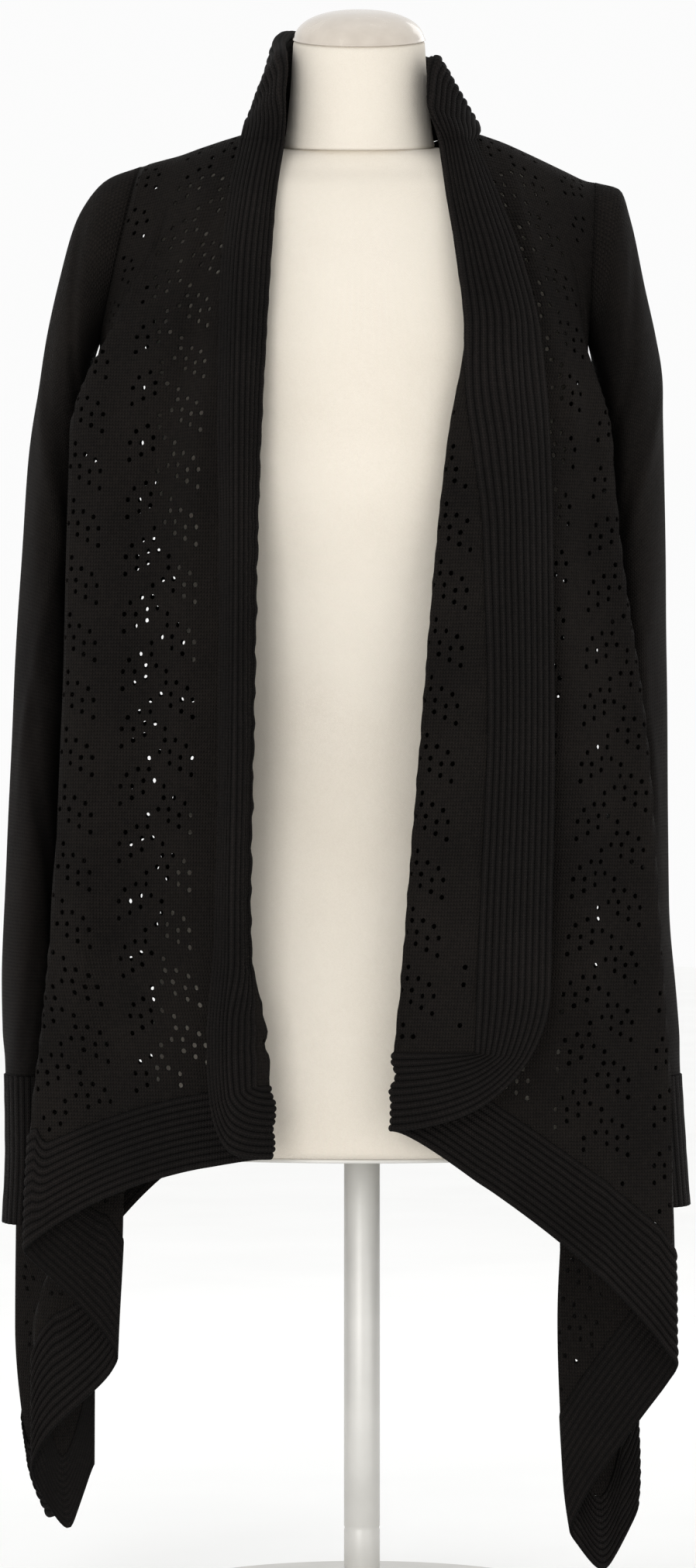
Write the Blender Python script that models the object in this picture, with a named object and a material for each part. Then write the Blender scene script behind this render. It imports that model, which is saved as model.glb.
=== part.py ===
"""Open-front lace-knit cardigan on a dress form. Metres, +Z up, front towards -Y.

The origin is the centre of the stand's underside. Tables are in millimetres.
"Left" is the wearer's left, at +X.
"""
import math

import bmesh
import bpy
import numpy as np

MM = 0.001

# Driving sizes, in millimetres
CLOTH = 2.0
SEAM_GAP = 0.3
BAND_WIDTH = 50.0
BAND_RIBS = 11
RIB_HEIGHT = 1.3
EYELET_WIDTH = 5.2
EYELET_HEIGHT = 7.0
YOKE_TOP = 1015.0
ARMHOLE_BOTTOM = 880.0
ARMHOLE_CLEARANCE = 1.3
YOKE_ROWS = 6
LAPEL_CELLS = 4
FOLD_RADIUS = 4.5
FOLD_FORMS_OVER = 22.0
# Turn of a lapel's corner, in radians, at the corner of the seam inside it
CORNER_FIRST = 0.52
ROLL_RADIUS = 5.0
STAND_DROP = 0.6

# Where the key lines of each panel lie along the cloth, in millimetres at mid height.
# A front runs from its free edge over the roll to the fold, then back across the chest
# and out and in round the hanging side folds to the side seam. The ghost is the next
# line of the back, which makes the two panels meet smoothly.
LEFT_KNOTS = (0, 45, 90, 145, 200, 265, 340, 386, 435)
# Columns: height, edge, roll, fold, chest, flank, out 1, in 1, seam
LEFT_X = (
    (1015, 78, 67, 53.5, 66, 88, 112, 137, 162),
    (975, 93, 76, 58.5, 80, 103, 124, 143, 160),
    (930, 109, 88, 65, 90, 114, 133, 147, 158),
    (880, 121, 98, 70, 96, 123, 151, 155, 157),
    (810, 127, 96, 59, 88, 128, 172, 154, 158),
    (740, 129, 92, 51, 88, 130, 177, 147, 160),
    (600, 130, 86, 39.4, 87, 141, 195.5, 140, 160),
    (470, 128, 78, 29, 86, 149, 204, 138, 158),
    (337, 126, 73, 20, 85, 155, 211.7, 138, 162),
    (260, 126, 73, 20, 85, 156, 212.5, 136, 174),
    (190, 126, 73, 20, 85, 157, 213.5, 135, 186),
    (92, 126, 73, 20, 85, 158, 215, 139, 191.7),
    (20, 126, 73, 20, 85, 158, 214, 150, 183),
)
LEFT_Y = (
    (1015, -38, -50, -44, -1.2, -1.2, -1.2, -1.2, -1.2),
    (975, -66, -80, -64, -36, -34, -31, -28, -26),
    (930, -84, -99, -88, -68, -57, -47, -39, -30),
    (880, -88, -108, -102, -90, -74, -52, -36, -1),
    (810, -100, -125, -118, -105, -88, -62, -32, -4),
    (740, -106, -131, -122, -110, -94, -68, -36, -5),
    (600, -113, -135, -125, -112, -98, -74, -42, -5),
    (470, -117, -139, -127, -113, -100, -78, -46, -5),
    (337, -119, -141, -127, -113, -100, -78, -46, -8),
    (190, -119, -141, -127, -113, -100, -78, -46, -12),
    (20, -119, -141, -127, -113, -100, -76, -45, -14),
)
# The right front hangs in one more fold. Its X values are distances to the -X side.
RIGHT_KNOTS = (0, 25, 50, 100, 150, 210, 280, 320, 360, 409, 465)
# Columns: height, edge, roll, fold, chest, flank, out 1, in 1, out 2, in 2, seam
RIGHT_X = (
    (1015, 84, 70, 54.5, 66, 90, 108, 122, 133, 143, 154),
    (975, 91, 77, 60, 80, 104, 122, 135, 146, 154, 161),
    (930, 95, 82, 63.2, 88, 114, 134, 147, 157, 165, 171),
    (880, 96.5, 84, 66, 92, 128, 172, 173, 176, 178, 182),
    (810, 97, 85, 69.5, 96, 141, 200, 176, 183, 175, 183),
    (740, 95.6, 85, 72, 98, 146, 202, 170, 184, 172, 190),
    (600, 96.2, 86, 74.7, 102, 152, 206, 166, 187, 171, 207),
    (470, 99, 88, 76.5, 106, 158, 213, 165, 190, 172, 224),
    (400, 104.2, 88, 65, 106, 163, 219.5, 164, 193, 174, 233),
    (337, 104.8, 87, 61, 108, 168, 226.6, 163, 198, 178, 240),
    (270, 104, 86, 61, 109, 170, 230, 164, 206, 184, 244),
    (190, 104, 86, 61, 109, 170, 231, 168, 228, 187, 244.6),
    (92, 104, 86, 61, 109, 170, 231, 171, 228, 187.4, 234.4),
    (40, 104, 86, 61, 109, 170, 230, 171, 216, 190, 214),
)
RIGHT_Y = (
    (1015, -38, -50, -44, -1.2, -1.2, -1.2, -1.2, -1.2, -1.2, -1.2),
    (975, -66, -80, -66, -37, -35, -33, -31, -30, -29, -27),
    (930, -88, -104, -90, -70, -60, -51, -45, -40, -36, -30),
    (880, -100, -118, -104, -92, -77, -60, -48, -38, -24, -1),
    (810, -116, -134, -120, -106, -92, -70, -46, -26, -10, 4),
    (740, -122, -139, -124, -110, -97, -75, -48, -24, 0, 16),
    (600, -125, -142, -126, -112, -100, -80, -50, -20, 12, 36),
    (470, -126, -143, -127, -113, -101, -82, -51, -19, 18, 56),
    (337, -126, -144, -127, -113, -101, -82, -51, -18, 24, 64),
    (190, -126, -144, -127, -113, -101, -82, -51, -18, 20, 60),
    (40, -126, -144, -127, -113, -101, -80, -50, -18, 16, 50),
)
BACK_KNOTS = (435, 480, 530, 585, 640, 690, 745)
# Columns: height, left blade, left neck, left nape, centre, right nape, right neck,
# right blade
BACK_X = (
    (1015, 116, 66, 50, 0, -50, -66, -112),
    (975, 126, 88, 46, 0, -46, -88, -126),
    (930, 130, 94, 48, 0, -48, -96, -138),
    (880, 133, 98, 50, 0, -50, -100, -146),
    (740, 140, 102, 52, 0, -52, -104, -156),
    (600, 144, 105, 53, 0, -54, -108, -164),
    (400, 150, 110, 55, 0, -56, -114, -180),
    (270, 160, 114, 56, 0, -57, -118, -186),
    (92, 170, 118, 58, 0, -58, -120, -200),
    (20, 166, 118, 58, 0, -58, -120, -200),
)
BACK_Y = (
    (1015, 1.2, 1.2, 42, 64, 42, 1.2, 1.2),
    (975, 32, 38, 62, 74, 62, 38, 34),
    (930, 50, 73, 87, 92, 87, 74, 52),
    (880, 54, 82, 98, 104, 98, 84, 56),
    (740, 54, 84, 100, 107, 100, 88, 62),
    (600, 52, 84, 102, 109, 103, 92, 74),
    (400, 56, 88, 105, 112, 107, 100, 92),
    (270, 50, 88, 105, 112, 108, 103, 95),
    (20, 44, 84, 104, 112, 108, 100, 90),
)
# Cells of the grids between the key lines, from the fold or seam on
LEFT_CELLS = (4, 3, 4, 6, 5)
RIGHT_CELLS = (3, 2, 3, 5, 4, 4, 4)
BACK_CELLS = (3, 2, 2, 3, 3, 2, 2, 4)
# Shares of a band's width where its plain side has columns, close together at a fold
LAPEL_PLAIN = (0, 0.05, 0.1, 0.4, 0.7, 1)
HEM_PLAIN = (0, 0.33, 0.67, 1)
# Rows of a panel from the armhole's bottom to the seam of its hem, as shares of the way
BODY_SHARES = (0.14, 0.28, 0.42, 0.56, 0.7, 0.82, 0.91, 1.0)
FALL_PLAIN = (0, 0.05, 0.1, 0.15, 0.21, 0.5, 1)
# Height of the top edge at each key line, from the free edge to the side
LEFT_TOP = (1015, 1015, 1015, 1026, 1020, 1010, 999, 990, 990)
RIGHT_TOP = (1015, 1015, 1015, 1026, 1020, 1014, 1009, 1006, 1003.5, 1001, 1001)
BACK_TOP = (990, 990, 1009, 1026, 1023, 1021, 1023, 1026, 1013, 1001, 1001)
# Height of the hem along each panel: knot, height
LEFT_HEM = ((0, 337), (90, 337), (145, 297), (200, 241), (265, 173), (340, 56),
            (363, 28), (386, 68), (435, 200))
RIGHT_HEM = ((0, 318), (50, 318), (100, 311), (150, 292), (210, 252), (280, 177),
             (320, 95), (340, 53), (360, 96), (384, 66), (409, 54), (465, 240))
BACK_HEM = ((340, 56), (386, 68), (435, 200), (480, 287), (530, 325), (585, 338),
            (640, 330), (690, 308), (745, 240), (801, 54), (850, 96))
# Share of the lapel's width that its band takes: height, share
LEFT_BAND = ((1015, 1.0), (878, 1.0), (800, 0.76), (740, 0.62), (600, 0.52), (337, 0.48))
RIGHT_BAND = ((1015, 1.0), (455, 1.0), (410, 0.8), (318, 0.75))

# The collar from the left front round the back to the right front
# Columns: step, fold x, fold y, fold z, edge x, edge y, edge z, neck x, neck y, neck z
COLLAR = (
    (0.00, 53.5, -44, 1015.9, 78, -38, 1015.9, 55, -44, 1015.9),
    (0.10, 47.5, -42, 1043, 82, -22, 1024, 56, -36, 1019.5),
    (0.21, 47.5, -33, 1069, 81, -4, 1029, 65.5, -8, 1027.4),
    (0.30, 54, 0, 1068, 79, 18, 1031, 64, 14, 1027.4),
    (0.40, 49, 42, 1076, 65, 64, 1042, 51, 42, 1024.4),
    (0.52, -2, 66, 1093, -2, 92, 1050, 0, 64.5, 1022.4),
    (0.63, -46, 43, 1097, -64, 66, 1050, -51, 42, 1024.4),
    (0.72, -54.5, 2, 1084, -77, 20, 1036, -64, 14, 1027.4),
    (0.80, -53, -33, 1069, -81, -4, 1030, -65.5, -8, 1027.4),
    (0.90, -54.5, -42, 1043, -82, -22, 1025, -57, -36, 1019.5),
    (1.00, -54.5, -44, 1015.9, -84, -38, 1015.9, -56, -44, 1015.9),
)
COLLAR_CELLS = 16

# Sleeves: rings from the armhole to the cuff; the outer and inner points of each ring
# in the X-Z plane and its half depth in Y
# Columns: outer x, outer z, inner x, inner z, half depth
LEFT_SLEEVE = (
    (162, 990, 157, 880, 30),
    (179, 985, 160, 867, 36),
    (187, 963, 162, 853, 39),
    (196, 920, 164, 833, 41),
    (204, 880, 166, 806, 42),
    (208.4, 840, 168, 776, 43),
    (209.5, 770, 169, 730, 43),
    (210.6, 685, 170, 663, 43),
    (211, 578, 170, 570, 43),
    (212.5, 490, 171, 487, 43),
    (217, 430, 174, 429, 43),
    (221, 370, 178, 370, 43),
)
LEFT_CUFF = ((221, 369.7, 178, 369.7, 43), (224, 320, 182, 320, 42),
             (227, 279, 186, 279, 40))
RIGHT_SLEEVE = (
    (154, 1001, 182, 880, 30),
    (177, 992, 186, 868, 36),
    (197, 966, 188, 855, 39),
    (211, 917, 190, 835, 41),
    (222, 857, 193, 806, 42),
    (231, 799, 196, 773, 43),
    (237, 704, 201, 690, 43),
    (242, 610, 206, 602, 43),
    (246, 510, 211, 506, 43),
    (249, 430, 213.5, 429, 43),
    (247.5, 370, 213.5, 370, 43),
)
RIGHT_CUFF = ((247.5, 369.7, 213.5, 369.7, 43), (246.8, 318, 213, 318, 42),
              (249, 267, 215, 267, 39))
SLEEVE_SIDES = 12
CUFF_RIBS = 26
SLEEVE_WAVE = 0.035

# Dress form. Columns: height, half width, front depth, back depth
FORM = (
    (316, 142, 92, 92),
    (324, 144, 96, 94),
    (380, 146, 98, 95),
    (480, 138, 92, 88),
    (600, 115, 85, 75),
    (700, 127, 96, 80),
    (790, 143, 113, 85),
    (860, 142, 106, 90),
    (920, 146, 88, 90),
    (955, 145, 72, 82),
    (982.8, 137, 58, 70),
    (998.8, 106, 49, 62),
    (1008.8, 76, 48, 57),
    (1014.8, 56, 48, 55),
)
FORM_SIDES = 20
# Neck of the form, whose top tilts forward. Columns: height, radius
NECK = ((1015.1, 53), (1024, 51.2), (1034, 50), (1056, 47.8), (1090, 45.7))
NECK_X = -2.0
NECK_TOP = 1090.0
NECK_TILT = 13.0
CAP_RADIUS = 45.5
CAP_HEIGHT = 20.5
PLATE_THICK = 3.0
POLE_RADIUS = 12.5
FOOT_RADIUS = 140.0
FOOT_THICK = 12.0

KNIT = (0.0087, 0.0075, 0.0070, 1.0)
RIB_KNIT = (0.0080, 0.0070, 0.0066, 1.0)
LINEN = (0.753, 0.716, 0.651, 1.0)
CAP_WHITE = (0.85, 0.84, 0.81, 1.0)
PALE_METAL = (0.78, 0.77, 0.75, 1.0)


def clear_scene():
    for old in list(bpy.data.objects):
        bpy.data.objects.remove(old, do_unlink=True)


def pchip(knots, values, query):
    """Monotone cubic through values at knots, along the first axis."""
    knots = np.asarray(knots, float)
    values = np.asarray(values, float)
    query = np.clip(np.asarray(query, float), knots[0], knots[-1])
    shape = (-1,) + (1,) * (values.ndim - 1)
    step = np.diff(knots)
    rise = np.diff(values, axis=0) / step.reshape(shape)
    slope = np.zeros_like(values)
    before = (step[1:] + 2 * step[:-1]).reshape(shape)
    after = (2 * step[1:] + step[:-1]).reshape(shape)
    same = rise[:-1] * rise[1:] > 0
    low = np.where(same, rise[:-1], 1.0)
    high = np.where(same, rise[1:], 1.0)
    slope[1:-1] = np.where(same, (before + after) / (before / low + after / high), 0.0)
    slope[0] = rise[0]
    slope[-1] = rise[-1]
    cell = np.clip(np.searchsorted(knots, query, side="right") - 1, 0, len(step) - 1)
    t = ((query - knots[cell]) / step[cell]).reshape(shape)
    h = step[cell].reshape(shape)
    return ((2 * t ** 3 - 3 * t ** 2 + 1) * values[cell] + (t ** 3 - 2 * t ** 2 + t) * h * slope[cell]
            + (3 * t ** 2 - 2 * t ** 3) * values[cell + 1] + (t ** 3 - t ** 2) * h * slope[cell + 1])


def pchip_each(knots, values, query):
    """The same for many rows of values, with one query for each row."""
    knots = np.asarray(knots, float)
    query = np.clip(query, knots[0], knots[-1])
    step = np.diff(knots)
    rise = np.diff(values, axis=1) / step
    before = step[1:] + 2 * step[:-1]
    after = 2 * step[1:] + step[:-1]
    same = rise[:, :-1] * rise[:, 1:] > 0
    low = np.where(same, rise[:, :-1], 1.0)
    high = np.where(same, rise[:, 1:], 1.0)
    slope = np.empty_like(values)
    slope[:, 1:-1] = np.where(same, (before + after) / (before / low + after / high), 0.0)
    slope[:, 0] = rise[:, 0]
    slope[:, -1] = rise[:, -1]
    cell = np.clip(np.searchsorted(knots, query, side="right") - 1, 0, len(step) - 1)
    row = np.arange(len(query))
    h = step[cell]
    t = (query - knots[cell]) / h
    return ((2 * t ** 3 - 3 * t ** 2 + 1) * values[row, cell]
            + (t ** 3 - 2 * t ** 2 + t) * h * slope[row, cell]
            + (3 * t ** 2 - 2 * t ** 3) * values[row, cell + 1]
            + (t ** 3 - t ** 2) * h * slope[row, cell + 1])


def by_level(table, level):
    """Read a table whose first column is a falling height."""
    rows = np.array(table, float)[::-1]
    return pchip(rows[:, 0], rows[:, 1:], level)


def curve(pairs, query):
    """Read a short table of pairs at many places."""
    rows = np.array(sorted(pairs), float)
    return pchip(rows[:, 0], rows[:, 1], query)


def smooth(t):
    t = np.clip(t, 0.0, 1.0)
    return t * t * (3 - 2 * t)


def unit(vectors):
    return vectors / np.maximum(np.linalg.norm(vectors, axis=-1, keepdims=True), 1e-9)


def yoke_share(level):
    """How far up the armhole a level is: 0 at its bottom, 1 at the shoulder."""
    part = (level - ARMHOLE_BOTTOM) / (YOKE_TOP - ARMHOLE_BOTTOM)
    return np.sin(np.clip(part, 0.0, 1.0) * math.pi / 2)


def armhole(side, level):
    """The armhole is an upright ellipse: its X, and how far it opens to each side in Y."""
    top_x, _, low_x, _, depth = (LEFT_SLEEVE if side > 0 else RIGHT_SLEEVE)[0]
    share = yoke_share(level)
    opening = depth * np.sqrt(np.clip(1 - (2 * share - 1) ** 2, 0.0, 1.0))
    return side * (low_x + (top_x - low_x) * share), np.maximum(opening, 1.0)


def round_folds(knots, x_keys, y_keys):
    """Add two lines beside each key line that is a fold, a fold's radius from it.

    Where the cloth doesn't turn back, the added lines stay on the plain curve.
    """
    reach = FOLD_RADIUS * math.pi / 2
    all_knots, xs, ys = [], [], []
    count = len(knots)
    row_count = len(x_keys)
    for k in range(count):
        if 0 < k < count - 1:
            before = x_keys[:, k - 1] - x_keys[:, k]
            after = x_keys[:, k + 1] - x_keys[:, k]
            depth = np.where(before * after > 0, np.minimum(abs(before), abs(after)), 0.0)
            fold = smooth(depth / FOLD_FORMS_OVER)
        for way, delta in ((-1, before), (0, None), (1, after)) if 0 < k < count - 1 else ((0, None),):
            place = knots[k] + way * reach
            all_knots.append(place)
            if way == 0:
                xs.append(x_keys[:, k])
                ys.append(y_keys[:, k])
                continue
            query = np.full(row_count, place)
            plain_x = pchip_each(knots, x_keys, query)
            plain_y = pchip_each(knots, y_keys, query)
            rise = y_keys[:, k + way] - y_keys[:, k]
            turned_x = x_keys[:, k] + np.sign(delta) * FOLD_RADIUS
            turned_y = y_keys[:, k] + np.sign(rise) * np.minimum(FOLD_RADIUS, abs(rise) * 0.6)
            xs.append(plain_x + (turned_x - plain_x) * fold)
            ys.append(plain_y + (turned_y - plain_y) * fold)
    return np.array(all_knots), np.column_stack(xs), np.column_stack(ys)


class Panel:
    """A panel of cloth: a place along it, s, and a level give a point in millimetres."""

    def __init__(self, side, knots, x_table, y_table, top, hem, band=None):
        self.side = side
        self.knots = np.array(knots, float)
        self.x_table = x_table
        self.y_table = y_table
        self.top = np.array(top, float)
        self.hem = hem
        self.band = band

    def own_keys(self, level):
        """X and Y of a front's key lines, with the armhole as its last line in the yoke."""
        x = by_level(self.x_table, level) * self.side
        y = by_level(self.y_table, level)
        hole_x, opening = armhole(self.side, level)
        yoke = level > ARMHOLE_BOTTOM
        x[:, -1] = np.where(yoke, hole_x, x[:, -1])
        y[:, -1] = np.where(yoke, -opening, y[:, -1])
        return x, y

    def keys(self, level):
        """The key lines and, after the seam, the next line of the back."""
        x, y = self.own_keys(level)
        pick = 0 if self.side > 0 else -1
        beyond_x = by_level(BACK_X, level)[:, pick]
        beyond_y = by_level(BACK_Y, level)[:, pick]
        yoke = smooth((level - ARMHOLE_BOTTOM) / 15.0)
        beyond_x = beyond_x + (2 * x[:, -1] - x[:, -2] - beyond_x) * yoke
        beyond_y = beyond_y + (2 * y[:, -1] - y[:, -2] - beyond_y) * yoke
        return np.column_stack([x, beyond_x]), np.column_stack([y, beyond_y])

    def height(self, s, level):
        """Below the armhole a level is a height; above it the levels arch to the shoulder."""
        top = pchip(self.knots, self.top, s)
        arched = ARMHOLE_BOTTOM + (top - ARMHOLE_BOTTOM) * yoke_share(level)
        return np.where(level > ARMHOLE_BOTTOM, level + (arched - level) * self.arch(s), level)

    def arch(self, s):
        """The levels stay flat in the lapel and arch fully from the chest line on."""
        return smooth((s - self.knots[2]) / (self.knots[3] - self.knots[2]))

    def point(self, s, level):
        s, level = np.broadcast_arrays(np.asarray(s, float), np.asarray(level, float))
        shape = s.shape
        s, level = s.ravel(), level.ravel()
        knots, x_keys, y_keys = round_folds(self.knots, *self.keys(level))
        x = pchip_each(knots, x_keys, s)
        y = pchip_each(knots, y_keys, s)
        return np.stack([x, y, self.height(s, level)], axis=-1).reshape(shape + (3,))

    def normal(self, s, level):
        """Unit vectors out of the cloth's right side."""
        along = self.point(s + 0.6, level) - self.point(s - 0.6, level)
        above = np.where(level > ARMHOLE_BOTTOM, np.minimum(level + 1.5, YOKE_TOP), level)
        up = self.point(s, above) - self.point(s, level - 1.5)
        across = np.cross(along, up) * self.side
        return unit(across)

    def hem_height(self, s):
        return curve(self.hem, s)

    def seam_height(self, s):
        """Top of the hem band, which keeps its width where the hem slants."""
        reach = 16.0
        a = np.clip(s - reach, self.knots[0], self.knots[-1])
        b = np.clip(s + reach, self.knots[0], self.knots[-1])
        z = self.hem_height(s)
        run = (self.point(b, z) - self.point(a, z))[..., :2]
        run = np.maximum(np.linalg.norm(run, axis=-1), 12.0)
        slant = (self.hem_height(b) - self.hem_height(a)) / run
        return z + BAND_WIDTH * np.minimum(np.sqrt(1 + slant * slant), 1.6)

    def band_seam(self, level):
        """Place of the seam between the lapel's band and its lace."""
        return self.knots[2] * curve(self.band, level)


class BackPanel(Panel):
    def keys(self, level):
        x = by_level(self.x_table, level)
        y = by_level(self.y_table, level)
        yoke = smooth((level - ARMHOLE_BOTTOM) / 15.0)
        ends = []
        for front, near in ((LEFT_FRONT, 0), (RIGHT_FRONT, -1)):
            front_x, front_y = front.own_keys(level)
            seam_x = front_x[:, -1]
            seam_y = np.where(level > ARMHOLE_BOTTOM, -front_y[:, -1], front_y[:, -1])
            beyond_x = front_x[:, -2] + (2 * seam_x - x[:, near] - front_x[:, -2]) * yoke
            beyond_y = front_y[:, -2] + (2 * seam_y - y[:, near] - front_y[:, -2]) * yoke
            ends.append((seam_x, seam_y, beyond_x, beyond_y))
        left, right = ends
        return (np.column_stack([left[2], left[0], x, right[0], right[2]]),
                np.column_stack([left[3], left[1], y, right[1], right[3]]))

    def arch(self, s):
        return np.ones_like(s)


LEFT_FRONT = Panel(1, LEFT_KNOTS, LEFT_X, LEFT_Y, LEFT_TOP, LEFT_HEM, LEFT_BAND)
RIGHT_FRONT = Panel(-1, RIGHT_KNOTS, RIGHT_X, RIGHT_Y, RIGHT_TOP, RIGHT_HEM, RIGHT_BAND)
BACK = BackPanel(1, (340, 386) + BACK_KNOTS + (801, 850), BACK_X, BACK_Y, BACK_TOP, BACK_HEM)


def material(name, colour, roughness, metallic=0.0):
    made = bpy.data.materials.new(name)
    made.use_nodes = True
    shader = made.node_tree.nodes["Principled BSDF"]
    shader.inputs["Base Color"].default_value = colour
    shader.inputs["Roughness"].default_value = roughness
    shader.inputs["Metallic"].default_value = metallic
    return made


def add_object(name, points, faces, finish):
    """Make one object from points in millimetres."""
    mesh = bpy.data.meshes.new(name)
    mesh.from_pydata([tuple(p * MM) for p in points], [], faces)
    mesh.materials.append(finish)
    mesh.validate()
    made = bpy.data.objects.new(name, mesh)
    bpy.context.scene.collection.objects.link(made)
    return made


def zip_rails(first, second):
    """Triangles between two rails of point numbers with different counts."""
    faces = []
    i, j = 0, 0
    while i < len(first) - 1 or j < len(second) - 1:
        step_first = (i + 1) / max(len(first) - 1, 1)
        step_second = (j + 1) / max(len(second) - 1, 1)
        if j == len(second) - 1 or (i < len(first) - 1 and step_first <= step_second):
            faces.append((first[i], first[i + 1], second[j]))
            i += 1
        else:
            faces.append((first[i], second[j + 1], second[j]))
            j += 1
    return faces


def draw_in(grid, amount):
    """Pull all four edges of a sheet inwards by a seam's half gap.

    Points that coincide at an edge, where a gore tapers to nothing, move together.
    """
    grid = grid.copy()
    for turned in (grid, grid.transpose(1, 0, 2)):
        for lines in (turned, turned[::-1]):
            for j in range(lines.shape[1]):
                k = 1
                while k < len(lines) - 1 and np.linalg.norm(lines[k, j] - lines[0, j]) < 0.01:
                    k += 1
                way = lines[k, j] - lines[0, j]
                length = max(np.linalg.norm(way), 1e-6)
                move = way / length * min(amount, length * 0.4)
                lines[:k, j] += move
    return grid


def wall(name, outer, inner, finish, eyelets=(), closed=False):
    """A closed wall between an outer and an inner grid of points.

    Both have the same number of rows. An inner row may have fewer points than the outer
    one. A tube is closed along its rows. Cells named in eyelets are cut through.
    """
    points = []

    def number(rows):
        numbered = []
        for row in rows:
            first = len(points)
            points.extend(row)
            numbered.append(list(range(first, first + len(row))) + ([first] if closed else []))
        return numbered

    out = number(outer)
    ins = number(inner)
    faces = []
    eyelets = set(eyelets)
    for i in range(len(out) - 1):
        for j in range(len(out[i]) - 1):
            corners = (out[i][j], out[i][j + 1], out[i + 1][j + 1], out[i + 1][j])
            if (i, j) in eyelets:
                back = (ins[i][j], ins[i][j + 1], ins[i + 1][j + 1], ins[i + 1][j])
                faces += cut_eyelet(points, corners, back)
            else:
                faces.append(corners)
        if len(ins[i]) != len(ins[i + 1]):
            faces += zip_rails(ins[i], ins[i + 1])
            continue
        for j in range(len(ins[i]) - 1):
            if (i, j) not in eyelets:
                faces.append((ins[i][j + 1], ins[i][j], ins[i + 1][j], ins[i + 1][j + 1]))
    if not closed:
        for i in range(len(out) - 1):
            for j in (0, -1):
                faces.append((out[i][j], out[i + 1][j], ins[i][j]))
                faces.append((out[i + 1][j], ins[i + 1][j], ins[i][j]))
    faces += [f[::-1] for f in zip_rails(out[0], ins[0])]
    faces += zip_rails(out[-1], ins[-1])
    return finish_wall(name, points, faces, finish)


def finish_wall(name, points, faces, finish):
    """Weld the points that coincide and turn the faces out."""
    made = add_object(name, points, faces, finish)
    mesh = made.data
    work = bmesh.new()
    work.from_mesh(mesh)
    bmesh.ops.remove_doubles(work, verts=work.verts, dist=2e-6)
    bmesh.ops.dissolve_degenerate(work, edges=work.edges, dist=2e-6)
    bmesh.ops.triangulate(work, faces=work.faces)
    bmesh.ops.recalc_face_normals(work, faces=work.faces)
    work.to_mesh(mesh)
    work.free()
    mesh.shade_smooth()
    mesh.set_sharp_from_angle(angle=math.radians(40))
    return made


def cut_eyelet(points, corners, back):
    """Faces of one cell with a diamond hole through both of its sides."""
    faces = []
    rings = []
    for four in (corners, back):
        p = [points[k] for k in four]
        middle = sum(p) / 4
        right = (p[1] + p[2] - p[0] - p[3]) / 2
        down = (p[2] + p[3] - p[0] - p[1]) / 2
        half_wide = min(EYELET_WIDTH / 2 / np.linalg.norm(right), 0.32)
        half_high = min(EYELET_HEIGHT / 2 / np.linalg.norm(down), 0.32)
        start = len(points)
        points += [middle - down * half_high, middle + right * half_wide,
                   middle + down * half_high, middle - right * half_wide]
        rings.append([start + k for k in range(4)])
    for four, ring, flip in ((corners, rings[0], False), (back, rings[1], True)):
        for k in range(4):
            n = (k + 1) % 4
            pair = [(four[k], four[n], ring[k]), (four[n], ring[n], ring[k])]
            faces += [f[::-1] for f in pair] if flip else pair
    for k in range(4):
        n = (k + 1) % 4
        faces.append((rings[0][k], rings[0][n], rings[1][n], rings[1][k]))
    return faces


def spans(knots, cells):
    """Places between knots, a given number of cells to each span."""
    places = [float(knots[0])]
    for start, end, count in zip(knots[:-1], knots[1:], cells):
        places += [start + (end - start) * (k + 1) / count for k in range(count)]
    return np.array(places)


def yoke_levels():
    """Levels from the shoulder to the armhole's bottom, even round the armhole."""
    turn = np.arange(YOKE_ROWS + 1) / YOKE_ROWS * math.pi
    share = (1 + np.cos(turn)) / 2
    return ARMHOLE_BOTTOM + (YOKE_TOP - ARMHOLE_BOTTOM) * np.arcsin(share) * 2 / math.pi


def thicken(panel, s, level, face=1):
    """Outer and inner points of a plain wall on a grid of places."""
    middle = draw_in(panel.point(s, level), SEAM_GAP / 2)
    normal = panel.normal(s, level)
    return middle + normal * CLOTH / 2 * face, middle - normal * CLOTH / 2 * face


def front_rows(panel, cells):
    """Places and levels of a front's grid: the lapel's lace, then the front to its seam."""
    fold = panel.knots[2]
    body = spans(panel.knots[2:-1], cells)
    lapel_shares = np.arange(LAPEL_CELLS) / LAPEL_CELLS
    lapel_end = panel.seam_height(np.array([fold]))[0]
    rows_s, rows_level = [], []
    for level in yoke_levels():
        start = panel.band_seam([level])
        rows_s.append(np.concatenate([start + (fold - start) * lapel_shares, body]))
        rows_level.append(np.full(len(rows_s[-1]), level))
    for share in BODY_SHARES:
        start = panel.band_seam([ARMHOLE_BOTTOM + (lapel_end - ARMHOLE_BOTTOM) * share])
        s = np.concatenate([start + (fold - start) * lapel_shares, body])
        ends = panel.seam_height(np.maximum(s, fold))
        rows_s.append(s)
        rows_level.append(ARMHOLE_BOTTOM + (ends - ARMHOLE_BOTTOM) * share)
    return np.array(rows_s), np.array(rows_level)


def build_front(name, panel, cells, finish):
    """The lace front with the lace of its lapel, down to the seam of the hem."""
    s, level = front_rows(panel, cells)
    outer, inner = thicken(panel, s, level)
    chest = range(LAPEL_CELLS, LAPEL_CELLS + cells[0] + cells[1] + cells[2])
    eyelets = [(i, j) for i in range(1, len(s) - 2) for j in chest if (j + 2 * i) % 4 == 0]
    return wall(name, outer, inner, finish, eyelets)


def build_back(finish):
    body = spans(BACK.knots[1:-1], BACK_CELLS)
    rows_level = [np.full(len(body), level) for level in yoke_levels()]
    ends = BACK.seam_height(body)
    for share in BODY_SHARES:
        rows_level.append(ARMHOLE_BOTTOM + (ends - ARMHOLE_BOTTOM) * share)
    level = np.array(rows_level)
    s = np.broadcast_to(body, level.shape)
    outer, inner = thicken(BACK, s, level)
    eyelets = [(i, j) for i in range(3, len(level) - 3, 2) for j in range(3, len(body) - 4)
               if (j + i // 2) % 3 == 0]
    return wall("back", outer, inner, finish, eyelets)


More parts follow.
